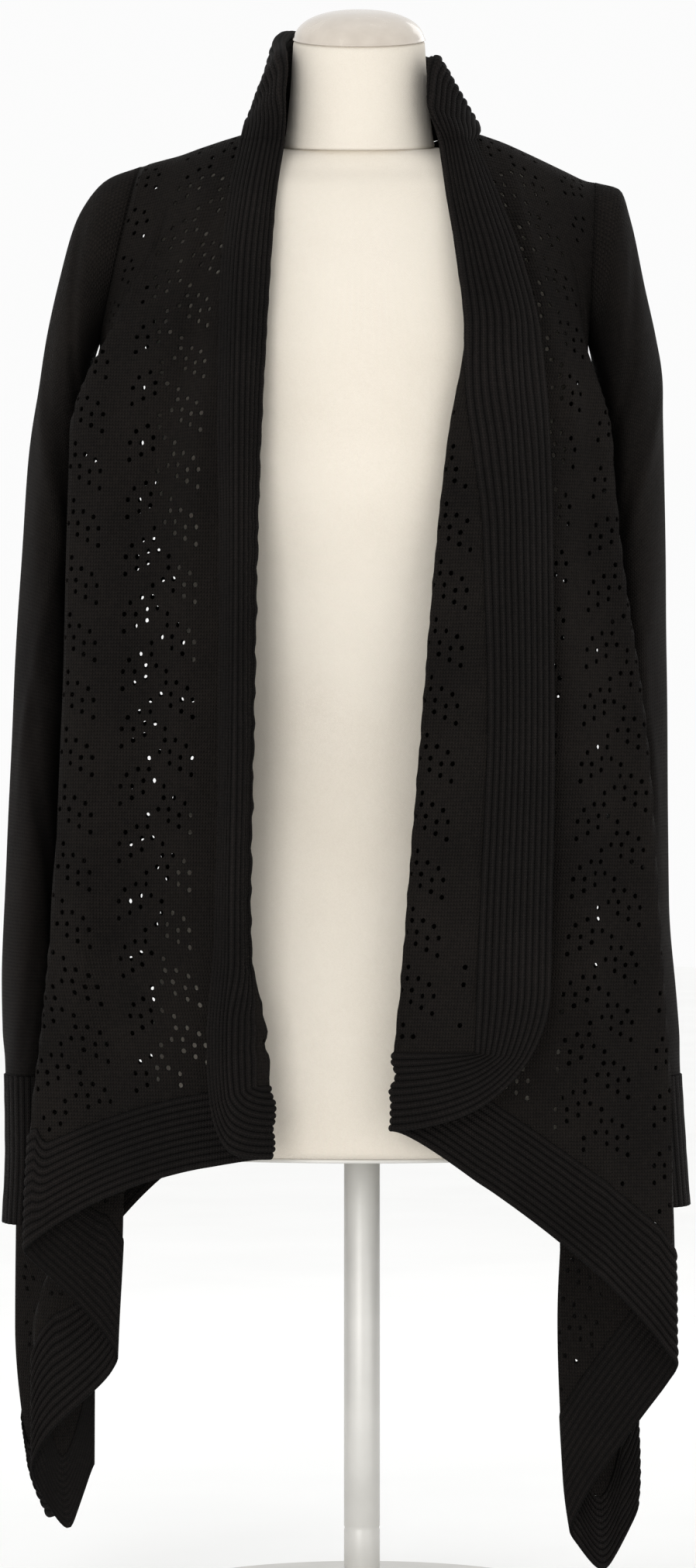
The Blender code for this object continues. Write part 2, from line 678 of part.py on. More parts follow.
def ribbed(name, point, normal, rail_a, rail_b, finish, face, flat):
    """A band between two rails of places (s, level), ribbed on one side, plain behind.

    The plain side has its columns at the shares named in flat.
    """
    cross = np.linspace(0, 1, 2 * BAND_RIBS + 1)
    flat = np.array(flat)
    raised = np.where(np.arange(len(cross)) % 2 == 1, RIB_HEIGHT, 0.0)
    grids = []
    for places in (cross, flat):
        s = rail_a[:, None, 0] + (rail_b - rail_a)[:, None, 0] * places[None, :]
        level = rail_a[:, None, 1] + (rail_b - rail_a)[:, None, 1] * places[None, :]
        grids.append((draw_in(point(s, level), SEAM_GAP / 2), normal(s, level) * face))
    (middle, way), (plain_middle, plain_way) = grids
    outer = middle + way * (CLOTH / 2 + raised[None, :, None])
    inner = list(plain_middle - plain_way * CLOTH / 2)
    for end in (0, -1):
        inner[end] = middle[end] - way[end] * CLOTH / 2
    return wall(name, outer, inner, finish)


def lapel_rails(panel, cells, corner_power):
    """Rails of a lapel's band: down the free edge and round its lower corner to the fold.

    The inner rail is the edge of the front: down its first column and along the lapel's
    foot. The outer rail's corner is a quarter of a superellipse.
    """
    fold = panel.knots[2]
    foot = panel.hem_height(np.array([fold]))[0]
    s, level = front_rows(panel, cells)
    inner = list(zip(s[:, 0], level[:, 0]))
    inner += [(s[-1, j], level[-1, j]) for j in range(1, LAPEL_CELLS + 1)]
    start = len(s) - 2
    corner_z = inner[start][1]
    angle = np.concatenate([[0.0], np.linspace(CORNER_FIRST, math.pi / 2, LAPEL_CELLS + 1)])
    across = fold * (1 - np.cos(angle) ** (2 / corner_power))
    down = foot + (corner_z - foot) * (1 - np.sin(angle) ** (2 / corner_power))
    outer = [(0.0, z) for _, z in inner[:start]] + list(zip(across, down))
    return np.array(inner), np.array(outer)


def build_bands(finish):
    """The ribbed border of both lapels and of the whole hem."""
    for side, panel, cells, power in (("left", LEFT_FRONT, LEFT_CELLS, 2.0),
                                      ("right", RIGHT_FRONT, RIGHT_CELLS, 3.0)):
        inner, outer = lapel_rails(panel, cells, power)
        ribbed("band_" + side, panel.point, panel.normal, inner[::-1], outer[::-1], finish, -1,
               LAPEL_PLAIN)
        build_hem("hem_" + side, panel, spans(panel.knots[2:-1], cells), finish)
    build_hem("hem_back", BACK, spans(BACK.knots[1:-1], BACK_CELLS), finish)


def build_hem(name, panel, places, finish):
    top = np.column_stack([places, panel.seam_height(places)])
    low = np.column_stack([places, panel.hem_height(places)])
    ribbed(name, panel.point, panel.normal, top, low, finish, 1, HEM_PLAIN)


def collar_point(t, down, first, second):
    """A point of the collar, t round the neck and down from one table path to another."""
    rows = np.array(COLLAR, float)
    t, down = np.broadcast_arrays(np.asarray(t, float), np.asarray(down, float))
    path = pchip(rows[:, 0], rows[:, 1:], t.ravel())
    start = path[:, 3 * first:3 * first + 3].reshape(t.shape + (3,))
    end = path[:, 3 * second:3 * second + 3].reshape(t.shape + (3,))
    return start, end, down[..., None]


def fall_point(t, down):
    """The fall rises from the stand, rolls over in an arc and hangs straight to its edge.

    The arc starts square to the fold and as nearly in line with the stand as that lets
    it. At the fronts the fall becomes a forward curve, the top of the lapel's.
    """
    t, down = np.broadcast_arrays(np.asarray(t, float), np.asarray(down, float))
    fold, edge, share = collar_point(t, down, 0, 1)
    neck = collar_point(t, down, 0, 2)[1]
    line = unit(fold - neck)
    path = unit(collar_point(np.minimum(t + 0.02, 1), down, 0, 1)[0]
                - collar_point(np.maximum(t - 0.02, 0), down, 0, 1)[0])
    rise = unit(line - path * np.sum(line * path, axis=-1, keepdims=True))
    reach = np.sum((edge - fold) * rise, axis=-1, keepdims=True)
    out = unit(edge - fold - rise * reach)
    wide = np.sum((edge - fold) * out, axis=-1, keepdims=True) - ROLL_RADIUS
    far = np.sqrt(wide ** 2 + reach ** 2)
    turn = math.pi - np.arctan2(reach, wide) - np.arccos(ROLL_RADIUS / far)
    straight = np.sqrt(far ** 2 - ROLL_RADIUS ** 2)
    travel = share * (ROLL_RADIUS * turn + straight)
    angle = np.clip(travel / ROLL_RADIUS, None, turn)
    onward = np.maximum(travel - ROLL_RADIUS * turn, 0.0)
    rolled = (fold + out * (ROLL_RADIUS * (1 - np.cos(angle)) + onward * np.sin(angle))
              + rise * (ROLL_RADIUS * np.sin(angle) + onward * np.cos(angle)))
    side = np.sign(fold[..., :1])
    first = fold + np.concatenate([side * 3.0, side * 0 - 7.0, side * 0], axis=-1)
    second = edge + np.concatenate([side * -5.0, side * 0 - 10.0, side * 0], axis=-1)
    rest = 1 - share
    forward = (fold * rest ** 3 + first * 3 * rest ** 2 * share
               + second * 3 * rest * share ** 2 + edge * share ** 3)
    return forward + (rolled - forward) * smooth(np.minimum(t, 1 - t) / 0.12)[..., None]


def stand_point(t, down):
    """The stand rises from the neck seam to just under the fold."""
    fold, neck, share = collar_point(t, down, 0, 2)
    top = fold + unit(neck - fold) * STAND_DROP
    return top + (neck - top) * share


def surface_normal(point, turn):
    def normal(t, down):
        along = point(np.minimum(t + 0.02, 1), down) - point(np.maximum(t - 0.02, 0), down)
        drop = point(t, down + 0.02) - point(t, down - 0.02)
        return unit(np.cross(along, drop)) * turn
    return normal


def build_collar(lace, rib):
    t = np.linspace(0.0, 1.0, COLLAR_CELLS + 1)
    fold_rail = np.column_stack([t, np.zeros_like(t)])
    edge_rail = np.column_stack([t, np.ones_like(t)])
    ribbed("band_neck", fall_point, surface_normal(fall_point, -1), fold_rail, edge_rail,
           rib, 1, FALL_PLAIN)
    s, down = np.meshgrid(t[1:-1][::-1], np.linspace(0.0, 1, 4), indexing="ij")
    middle = draw_in(stand_point(s, down), SEAM_GAP / 2)
    normal = surface_normal(stand_point, -1)(s, down)
    wall("collar_stand", middle + normal * CLOTH / 2, middle - normal * CLOTH / 2, lace)


def sleeve_ring(ring, side, sides, offset=0.0, wave=0.0):
    """One ring of a sleeve: an ellipse whose long way is from its outer to its inner point."""
    outer_x, outer_z, inner_x, inner_z, depth = ring
    angle = np.arange(sides) / sides * 2 * math.pi
    top = np.array([side * outer_x, 0.0, outer_z])
    low = np.array([side * inner_x, 0.0, inner_z])
    centre, half = (top + low) / 2, (top - low) / 2
    length = np.linalg.norm(half)
    ripple = offset * np.ones_like(angle) + wave * depth * np.cos(3 * angle + 0.7)
    along = half[None, :] * (1 + ripple[:, None] / length)
    return (centre[None, :] + along * np.cos(angle)[:, None]
            + np.outer(-(depth + ripple) * np.sin(angle), [0.0, 1.0, 0.0]))


def tube(name, rings, side, sides, plain_sides, finish, waves, ribs=0, shift=0.0):
    """A sleeve or cuff between its rings, ribbed outside if ribs are given."""
    outer, inner = [], []
    for ring, wave in zip(rings, waves):
        grid = sleeve_ring(ring, side, sides, CLOTH / 2, wave)
        if ribs:
            lift = np.where(np.arange(sides) % 2 == 1, RIB_HEIGHT * 0.8, 0.0)
            raised = sleeve_ring(ring, side, sides, CLOTH / 2 + RIB_HEIGHT * 0.8, wave)
            grid = np.where(lift[:, None] > 0, raised, grid)
        outer.append(grid)
        inner.append(sleeve_ring(ring, side, plain_sides, -CLOTH / 2, wave))
    outer, inner = np.array(outer), np.array(inner)
    outer[0, :, 0] += side * shift
    inner[0, :, 0] += side * shift
    return wall(name, outer, inner, finish, closed=True)


def build_sleeves(lace, rib):
    for name, side, rings, cuff in (("left", 1, LEFT_SLEEVE, LEFT_CUFF),
                                    ("right", -1, RIGHT_SLEEVE, RIGHT_CUFF)):
        waves = [SLEEVE_WAVE * min(k / 3, 1) * (1 + 0.3 * (-1) ** k) for k in range(len(rings))]
        waves[-1] = 0.0
        tube("sleeve_" + name, rings, side, SLEEVE_SIDES, SLEEVE_SIDES, lace, waves,
             shift=ARMHOLE_CLEARANCE)
        tube("cuff_" + name, cuff, side, CUFF_RIBS * 2, 14, rib, [0.0] * len(cuff),
             ribs=CUFF_RIBS)


def revolve(name, rings, finish):
    """A solid of stacked rings with flat ends; each ring is an array of points."""
    sides = len(rings[0])
    points = [p for ring in rings for p in ring]
    faces = []
    for i in range(len(rings) - 1):
        for k in range(sides):
            n = (k + 1) % sides
            faces.append((i * sides + k, i * sides + n, (i + 1) * sides + n, (i + 1) * sides + k))
    faces.append(tuple(range(sides))[::-1])
    faces.append(tuple(range((len(rings) - 1) * sides, len(rings) * sides)))
    return finish_wall(name, points, faces, finish)


def form_ring(z, half_width, front, back, centre_x=0.0):
    """Half an ellipse in front and half behind."""
    angle = np.arange(FORM_SIDES) / FORM_SIDES * 2 * math.pi
    depth = np.where(np.sin(angle) > 0, back, front)
    return np.stack([centre_x + half_width * np.cos(angle), depth * np.sin(angle),
                     np.full_like(angle, z)], axis=-1)


def build_form(linen, white, metal):
    """The dress form: torso, neck with a cap whose rim tilts forward, plate, pole and foot."""
    revolve("form_torso", [form_ring(*row) for row in FORM], linen)
    tilt = math.tan(math.radians(NECK_TILT))
    neck, cap = [], []
    for z, radius in NECK:
        ring = form_ring(z, radius, radius, radius + 2, NECK_X)
        if z == NECK_TOP:
            ring[:, 2] += ring[:, 1] * tilt
        neck.append(ring)
    revolve("form_neck", neck, linen)
    for k in range(6):
        angle = k / 6 * math.pi / 2
        radius = CAP_RADIUS * math.cos(angle) ** 0.8
        ring = form_ring(NECK_TOP + SEAM_GAP, radius, radius, radius, NECK_X)
        ring[:, 2] += ring[:, 1] * tilt + CAP_HEIGHT * math.sin(angle)
        cap.append(ring)
    revolve("neck_cap", cap, white)
    low = FORM[0][0] - SEAM_GAP
    revolve("form_plate", [form_ring(low - PLATE_THICK, 138, 88, 88),
                           form_ring(low, 138, 88, 88)], metal)
    pole_top = low - PLATE_THICK - SEAM_GAP
    pole_low = FOOT_THICK + 4 + SEAM_GAP
    revolve("pole", [form_ring(z, POLE_RADIUS, POLE_RADIUS, POLE_RADIUS)
                     for z in (pole_low, pole_top)], metal)
    rings = ((0, FOOT_RADIUS), (FOOT_THICK * 0.6, FOOT_RADIUS), (FOOT_THICK, FOOT_RADIUS - 6),
             (FOOT_THICK + 1.5, 40), (FOOT_THICK + 4, 24))
    revolve("foot", [form_ring(z, r, r, r) for z, r in rings], metal)


def main():
    clear_scene()
    lace = material("knit_lace", KNIT, 0.85)
    rib = material("knit_rib", RIB_KNIT, 0.85)
    linen = material("linen_cover", LINEN, 0.8)
    white = material("cap_white", CAP_WHITE, 0.3)
    metal = material("painted_metal", PALE_METAL, 0.4)
    build_front("front_left", LEFT_FRONT, LEFT_CELLS, lace)
    build_front("front_right", RIGHT_FRONT, RIGHT_CELLS, lace)
    build_back(lace)
    build_bands(rib)
    build_collar(lace, rib)
    build_sleeves(lace, rib)
    build_form(linen, white, metal)


main()
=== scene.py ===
import math
import bmesh
import bpy
import mathutils
import numpy as np
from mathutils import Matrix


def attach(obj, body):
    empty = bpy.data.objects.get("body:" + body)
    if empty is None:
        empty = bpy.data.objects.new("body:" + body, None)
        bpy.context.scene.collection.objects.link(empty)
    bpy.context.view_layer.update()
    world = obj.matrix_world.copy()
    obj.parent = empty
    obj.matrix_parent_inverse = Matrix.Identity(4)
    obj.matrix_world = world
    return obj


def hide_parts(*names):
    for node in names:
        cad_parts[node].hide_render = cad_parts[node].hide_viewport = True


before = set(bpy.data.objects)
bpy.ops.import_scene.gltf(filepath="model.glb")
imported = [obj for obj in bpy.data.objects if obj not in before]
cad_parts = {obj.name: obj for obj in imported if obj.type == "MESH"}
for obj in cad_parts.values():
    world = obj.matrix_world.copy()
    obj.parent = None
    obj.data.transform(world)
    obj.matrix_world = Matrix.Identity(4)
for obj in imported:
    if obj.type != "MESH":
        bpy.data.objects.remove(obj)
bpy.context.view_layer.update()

# The cloth's shape is worked out from the same tables as the solids, in millimetres.
# "Left" is the wearer's left, at +X.
mm = 0.001
bandWidth = 50.0
bandRibs = 11
ribHeight = 1.3
yokeTop = 1015.0
armholeBottom = 880.0
yokeBlend = 15.0
foldRadius = 4.5
foldFormsOver = 22.0
rollRadius = 3.6
bumpDepth = 1.7
sleeveGirth = 210.0
backCentre = 585.0
# The length of cloth over which creases fade out to a side seam and to the shoulders
seamFade = 40.0
shoulderFade = 60.0
# What the depths in the crease tables are multiplied by
creaseScale = 1.6
sleeveCreaseScale = 1.3
# Half the width of an eyelet, as a share of its cell
eyeletReach = 0.46
# Where the corner of a lapel band passes from its side to its foot, in radians
cornerFirst = 0.52
# The share of the collar at each end over which its fall turns into the lapel
collarEnd = 0.12

# Where the key lines of each panel lie along the cloth, in millimetres at mid height.
# A front runs from its free edge over the roll to the fold, then back across the chest
# and out and in round the hanging side folds to the side seam. The ghost is the next
# line of the back, which makes the two panels meet smoothly.
leftKnots = (0, 45, 90, 145, 200, 265, 340, 386, 435)
# Columns: height, edge, roll, fold, chest, flank, out 1, in 1, seam
leftX = (
    (1015, 78, 67, 53.5, 66, 88, 112, 137, 162),
    (975, 93, 76, 58.5, 80, 103, 124, 143, 160),
    (930, 109, 88, 65, 90, 114, 133, 147, 158),
    (880, 121, 98, 70, 96, 123, 151, 155, 157),
    (810, 127, 96, 59, 88, 128, 172, 154, 158),
    (740, 129, 92, 51, 88, 130, 177, 147, 160),
    (600, 130, 86, 39.4, 87, 141, 195.5, 140, 160),
    (470, 128, 78, 29, 86, 149, 204, 138, 158),
    (337, 126, 73, 20, 85, 155, 211.7, 138, 162),
    (260, 126, 73, 20, 85, 156, 212.5, 136, 174),
    (190, 126, 73, 20, 85, 157, 213.5, 135, 186),
    (92, 126, 73, 20, 85, 158, 215, 139, 191.7),
    (20, 126, 73, 20, 85, 158, 214, 150, 183),
)
leftY = (
    (1015, -38, -50, -44, -1.2, -1.2, -1.2, -1.2, -1.2),
    (975, -66, -80, -64, -36, -34, -31, -28, -26),
    (930, -84, -99, -88, -68, -57, -47, -39, -30),
    (880, -88, -108, -102, -90, -74, -52, -36, -1),
    (810, -100, -125, -118, -105, -88, -62, -32, -4),
    (740, -106, -131, -122, -110, -94, -68, -36, -5),
    (600, -113, -135, -125, -112, -98, -74, -42, -5),
    (470, -117, -139, -127, -113, -100, -78, -46, -5),
    (337, -119, -141, -127, -113, -100, -78, -46, -8),
    (190, -119, -141, -127, -113, -100, -78, -46, -12),
    (20, -119, -141, -127, -113, -100, -76, -45, -14),
)
# The right front hangs in one more fold. Its X values are distances to the -X side.
rightKnots = (0, 25, 50, 100, 150, 210, 280, 320, 360, 409, 465)
# Columns: height, edge, roll, fold, chest, flank, out 1, in 1, out 2, in 2, seam
rightX = (
    (1015, 84, 70, 54.5, 66, 90, 108, 122, 133, 143, 154),
    (975, 91, 77, 60, 80, 104, 122, 135, 146, 154, 161),
    (930, 95, 82, 63.2, 88, 114, 134, 147, 157, 165, 171),
    (880, 96.5, 84, 66, 92, 128, 172, 173, 176, 178, 182),
    (810, 97, 85, 69.5, 96, 141, 200, 176, 183, 175, 183),
    (740, 95.6, 85, 72, 98, 146, 202, 170, 184, 172, 190),
    (600, 96.2, 86, 74.7, 102, 152, 206, 166, 187, 171, 207),
    (470, 99, 88, 76.5, 106, 158, 213, 165, 190, 172, 224),
    (400, 104.2, 88, 65, 106, 163, 219.5, 164, 193, 174, 233),
    (337, 104.8, 87, 61, 108, 168, 226.6, 163, 198, 178, 240),
    (270, 104, 86, 61, 109, 170, 230, 164, 206, 184, 244),
    (190, 104, 86, 61, 109, 170, 231, 168, 228, 187, 244.6),
    (92, 104, 86, 61, 109, 170, 231, 171, 228, 187.4, 234.4),
    (40, 104, 86, 61, 109, 170, 230, 171, 216, 190, 214),
)
rightY = (
    (1015, -38, -50, -44, -1.2, -1.2, -1.2, -1.2, -1.2, -1.2, -1.2),
    (975, -66, -80, -66, -37, -35, -33, -31, -30, -29, -27),
    (930, -88, -104, -90, -70, -60, -51, -45, -40, -36, -30),
    (880, -100, -118, -104, -92, -77, -60, -48, -38, -24, -1),
    (810, -116, -134, -120, -106, -92, -70, -46, -26, -10, 4),
    (740, -122, -139, -124, -110, -97, -75, -48, -24, 0, 16),
    (600, -125, -142, -126, -112, -100, -80, -50, -20, 12, 36),
    (470, -126, -143, -127, -113, -101, -82, -51, -19, 18, 56),
    (337, -126, -144, -127, -113, -101, -82, -51, -18, 24, 64),
    (190, -126, -144, -127, -113, -101, -82, -51, -18, 20, 60),
    (40, -126, -144, -127, -113, -101, -80, -50, -18, 16, 50),
)
backKnots = (435, 480, 530, 585, 640, 690, 745)
# Columns: height, left blade, left neck, left nape, centre, right nape, right neck,
# right blade
backX = (
    (1015, 116, 66, 50, 0, -50, -66, -112),
    (975, 126, 88, 46, 0, -46, -88, -126),
    (930, 130, 94, 48, 0, -48, -96, -138),
    (880, 133, 98, 50, 0, -50, -100, -146),
    (740, 140, 102, 52, 0, -52, -104, -156),
    (600, 144, 105, 53, 0, -54, -108, -164),
    (400, 150, 110, 55, 0, -56, -114, -180),
    (270, 160, 114, 56, 0, -57, -118, -186),
    (92, 170, 118, 58, 0, -58, -120, -200),
    (20, 166, 118, 58, 0, -58, -120, -200),
)
backY = (
    (1015, 1.2, 1.2, 42, 64, 42, 1.2, 1.2),
    (975, 32, 38, 62, 74, 62, 38, 34),
    (930, 50, 73, 87, 92, 87, 74, 52),
    (880, 54, 82, 98, 104, 98, 84, 56),
    (740, 54, 84, 100, 107, 100, 88, 62),
    (600, 52, 84, 102, 109, 103, 92, 74),
    (400, 56, 88, 105, 112, 107, 100, 92),
    (270, 50, 88, 105, 112, 108, 103, 95),
    (20, 44, 84, 104, 112, 108, 100, 90),
)
# Height of the top edge at each key line, from the free edge to the side
leftTop = (1015, 1015, 1015, 1026, 1020, 1010, 999, 990, 990)
rightTop = (1015, 1015, 1015, 1026, 1020, 1014, 1009, 1006, 1003.5, 1001, 1001)
backTop = (990, 990, 1009, 1026, 1023, 1021, 1023, 1026, 1013, 1001, 1001)
# Height of the hem along each panel: knot, height
leftHem = ((0, 337), (90, 337), (145, 297), (200, 241), (265, 173), (340, 56),
            (363, 28), (386, 68), (435, 200))
rightHem = ((0, 318), (50, 318), (100, 311), (150, 292), (210, 252), (280, 177),
             (320, 95), (340, 53), (360, 96), (384, 66), (409, 54), (465, 240))
backHem = ((340, 56), (386, 68), (435, 200), (480, 287), (530, 325), (585, 338),
            (640, 330), (690, 308), (745, 240), (801, 54), (850, 96))
# Share of the lapel's width that its band takes: height, share
leftBand = ((1015, 1.0), (878, 1.0), (800, 0.76), (740, 0.62), (600, 0.52), (337, 0.48))
rightBand = ((1015, 1.0), (455, 1.0), (410, 0.8), (318, 0.75))

# The collar from the left front round the back to the right front
# Columns: step, fold x, fold y, fold z, edge x, edge y, edge z, neck x, neck y, neck z
collar = (
    (0.00, 53.5, -44, 1015, 78, -38, 1015, 55, -44, 1015),
    (0.10, 47.5, -42, 1043, 82, -22, 1024, 56, -36, 1019.5),
    (0.21, 47.5, -33, 1069, 81, -4, 1029, 65.5, -8, 1026.4),
    (0.30, 54, 0, 1068, 79, 18, 1031, 64, 14, 1026.4),
    (0.40, 49, 42, 1076, 65, 64, 1042, 51, 42, 1024.4),
    (0.52, -2, 66, 1093, -2, 92, 1050, 0, 64.5, 1022.4),
    (0.63, -46, 43, 1097, -64, 66, 1050, -51, 42, 1024.4),
    (0.72, -54.5, 2, 1084, -77, 20, 1036, -64, 14, 1026.4),
    (0.80, -53, -33, 1069, -81, -4, 1030, -65.5, -8, 1026.4),
    (0.90, -54.5, -42, 1043, -82, -22, 1025, -57, -36, 1019.5),
    (1.00, -54.5, -44, 1015, -84, -38, 1015, -56, -44, 1015),
)

# Sleeves: rings from the armhole to the cuff; the outer and inner points of each ring
# in the X-Z plane and its half depth in Y
# Columns: outer x, outer z, inner x, inner z, half depth
leftSleeve = (
    (162, 990, 157, 880, 30),
    (179, 985, 160, 867, 36),
    (187, 963, 162, 853, 39),
    (196, 920, 164, 833, 41),
    (204, 880, 166, 806, 42),
    (208.4, 840, 168, 776, 43),
    (209.5, 770, 169, 730, 43),
    (210.6, 685, 170, 663, 43),
    (211, 578, 170, 570, 43),
    (212.5, 490, 171, 487, 43),
    (217, 430, 174, 429, 43),
    (221, 370, 178, 370, 43),
)
leftCuff = ((221, 369.7, 178, 369.7, 43), (224, 320, 182, 320, 42),
             (227, 279, 186, 279, 40))
rightSleeve = (
    (154, 1001, 182, 880, 30),
    (177, 992, 186, 868, 36),
    (197, 966, 188, 855, 39),
    (211, 917, 190, 835, 41),
    (222, 857, 193, 806, 42),
    (231, 799, 196, 773, 43),
    (237, 704, 201, 690, 43),
    (242, 610, 206, 602, 43),
    (246, 510, 211, 506, 43),
    (249, 430, 213.5, 429, 43),
    (247.5, 370, 213.5, 370, 43),
)
rightCuff = ((247.5, 369.7, 213.5, 369.7, 43), (246.8, 318, 213, 318, 42),
              (249, 267, 215, 267, 39))
cuffRibs = 26
sleeveWave = 0.035

# Dress form. Columns: height, half width, front depth, back depth
form = (
    (316, 142, 92, 92),
    (324, 144, 96, 94),
    (380, 146, 98, 95),
    (480, 138, 92, 88),
    (600, 115, 85, 75),
    (700, 127, 96, 80),
    (790, 143, 113, 85),
    (860, 142, 106, 90),
    (920, 146, 88, 90),
    (955, 145, 72, 82),
    (982.8, 137, 58, 70),
    (998.8, 106, 49, 62),
    (1008.8, 76, 48, 57),
    (1014.8, 56, 48, 55),
)
neck = ((1015.1, 53), (1024, 51.2), (1034, 50), (1056, 47.8), (1090, 45.7))
neckX = -2.0
neckTop = 1090.0
neckTilt = 13.0
capRadius = 45.5
capHeight = 20.5
plateThick = 3.0
plateHalfWidth = 138.0
plateHalfDepth = 88.0
poleRadius = 12.5
footRadius = 140.0
footThick = 12.0


def cubicSlopes(step, rise):
    # Slopes at knots, along the last axis: the weighted harmonic mean of the rises on both
    # sides, 0 where they differ in sign, and at each end the rise beside it.
    before = step[1:] + 2 * step[:-1]
    after = 2 * step[1:] + step[:-1]
    same = rise[..., :-1] * rise[..., 1:] > 0
    low = np.where(same, rise[..., :-1], 1.0)
    high = np.where(same, rise[..., 1:], 1.0)
    inner = np.where(same, (before + after) / (before / low + after / high), 0.0)
    return np.concatenate([rise[..., :1], inner, rise[..., -1:]], axis=-1)


def knotCell(knots, query):
    # The number of the stretch between two knots that each place lies in.
    return np.clip(np.searchsorted(knots, query, side="right") - 1, 0, len(knots) - 2)


def cubicBetween(t, h, low, lowSlope, high, highSlope):
    # (2t³ - 3t² + 1) low + (t³ - 2t² + t) h lowSlope + (3t² - 2t³) high
    # + (t³ - t²) h highSlope.
    return ((2 * t ** 3 - 3 * t ** 2 + 1) * low + (t ** 3 - 2 * t ** 2 + t) * h * lowSlope
            + (3 * t ** 2 - 2 * t ** 3) * high + (t ** 3 - t ** 2) * h * highSlope)


def pchip(knots, values, query):
    # A monotone cubic through values at knots, along the first axis.
    knots = np.asarray(knots, float)
    values = np.moveaxis(np.asarray(values, float), 0, -1)
    query = np.clip(np.asarray(query, float), knots[0], knots[-1])
    step = np.diff(knots)
    slope = cubicSlopes(step, np.diff(values, axis=-1) / step)
    cell = knotCell(knots, query)
    found = cubicBetween((query - knots[cell]) / step[cell], step[cell], values[..., cell],
                         slope[..., cell], values[..., cell + 1], slope[..., cell + 1])
    return np.moveaxis(found, -1, 0)


def pchipEach(knots, values, query):
    # The same for many rows of values, with one query for each row.
    knots = np.asarray(knots, float)
    query = np.clip(query, knots[0], knots[-1])
    step = np.diff(knots)
    slope = cubicSlopes(step, np.diff(values, axis=1) / step)
    cell = knotCell(knots, query)
    row = np.arange(len(query))
    return cubicBetween((query - knots[cell]) / step[cell], step[cell], values[row, cell],
                        slope[row, cell], values[row, cell + 1], slope[row, cell + 1])


def byLevel(table, level):
    # Reads a table whose first column is a falling height.
    rows = np.array(table, float)[::-1]
    return pchip(rows[:, 0], rows[:, 1:], level)


def curveAt(pairs, query):
    # Reads a short table of pairs at many places of any shape.
    rows = np.array(sorted(pairs), float)
    query = np.asarray(query, float)
    return pchip(rows[:, 0], rows[:, 1], query.ravel()).reshape(query.shape)


def smoothStep(t):
    # 3t² - 2t³, held at 0 and 1 outside.
    t = np.clip(t, 0.0, 1.0)
    return t * t * (3 - 2 * t)


def unit(vectors):
    # Each vector divided by its length.
    return vectors / np.maximum(np.linalg.norm(vectors, axis=-1, keepdims=True), 1e-9)


def runAlong(line):
    # The distance run at each point of a line: the sum of the steps before it.
    return np.concatenate([[0.0], np.cumsum(np.linalg.norm(np.diff(line, axis=0), axis=1))])


def evenRun(run, step):
    # Even distances from the start to the end of a run, about a step apart.
    return np.linspace(0, run[-1], int(run[-1] // step) + 1)


def cells(grid):
    # The four corners of each cell of a grid, in turn round it.
    return np.stack([grid[:-1, :-1], grid[:-1, 1:], grid[1:, 1:], grid[1:, :-1]], axis=-1)


def ripple(place, seed, pitch):
    # Soft unevenness from -1 to 1: three sines of unlike pitch with phases from the seed.
    phase = seed * 1.7
    return (np.sin(place / pitch * 6.283 + phase) * 0.5
            + np.sin(place / pitch * 6.283 * 0.437 + phase * 2.3 + 1.0) * 0.32
            + np.sin(place / pitch * 6.283 * 1.713 + phase * 3.1 + 2.0) * 0.18)


def creases(u, v, table):
    # Soft troughs and ridges. Each is depth times a bell across its line, whose middle
    # wanders, times a longer bell along it. Columns: u, v, degrees from upright, length,
    # width, depth.
    total = np.zeros(np.broadcast(u, v).shape)
    for k, (cu, cv, degrees, length, width, depth) in enumerate(table):
        turn = math.radians(degrees)
        along = (v - cv) * math.cos(turn) + (u - cu) * math.sin(turn)
        across = (u - cu) * math.cos(turn) - (v - cv) * math.sin(turn)
        across = across + width * 0.5 * ripple(along, k + 1.0, length * 0.8)
        bell = np.exp(-(across / width) ** 2) * np.exp(-(2 * along / length) ** 4)
        total = total + depth * bell * (1 + 0.35 * ripple(along, k + 4.0, length * 0.5))
    return total


def yokeShare(level):
    # How far up the armhole a level is: the sine of a quarter turn times its share, 0 at
    # the armhole's bottom and 1 at the shoulder.
    part = (level - armholeBottom) / (yokeTop - armholeBottom)
    return np.sin(np.clip(part, 0.0, 1.0) * math.pi / 2)


def armhole(side, level):
    # The armhole is an upright ellipse: its X, and how far it opens to each side in Y.
    topX, _, lowX, _, depth = (leftSleeve if side > 0 else rightSleeve)[0]
    share = yokeShare(level)
    opening = depth * np.sqrt(np.clip(1 - (2 * share - 1) ** 2, 0.0, 1.0))
    return side * (lowX + (topX - lowX) * share), np.maximum(opening, 1.0)


def roundFolds(knots, xKeys, yKeys):
    # Adds two lines beside each key line that is a fold, a fold's radius from it.
    reach = foldRadius * math.pi / 2
    allKnots, xs, ys = [], [], []
    count = len(knots)
    rowCount = len(xKeys)
    for k in range(count):
        inner = 0 < k < count - 1
        if inner:
            before = xKeys[:, k - 1] - xKeys[:, k]
            after = xKeys[:, k + 1] - xKeys[:, k]
            depth = np.where(before * after > 0, np.minimum(abs(before), abs(after)), 0.0)
            fold = smoothStep(depth / foldFormsOver)
        for way, delta in ((-1, before), (0, None), (1, after)) if inner else ((0, None),):
            place = knots[k] + way * reach
            allKnots.append(place)
            if way == 0:
                xs.append(xKeys[:, k])
                ys.append(yKeys[:, k])
                continue
            query = np.full(rowCount, place)
            plainX = pchipEach(knots, xKeys, query)
            plainY = pchipEach(knots, yKeys, query)
            rise = yKeys[:, k + way] - yKeys[:, k]
            turnedX = xKeys[:, k] + np.sign(delta) * foldRadius
            turnedY = yKeys[:, k] + np.sign(rise) * np.minimum(foldRadius, abs(rise) * 0.6)
            xs.append(plainX + (turnedX - plainX) * fold)
            ys.append(plainY + (turnedY - plainY) * fold)
    return np.array(allKnots), np.column_stack(xs), np.column_stack(ys)


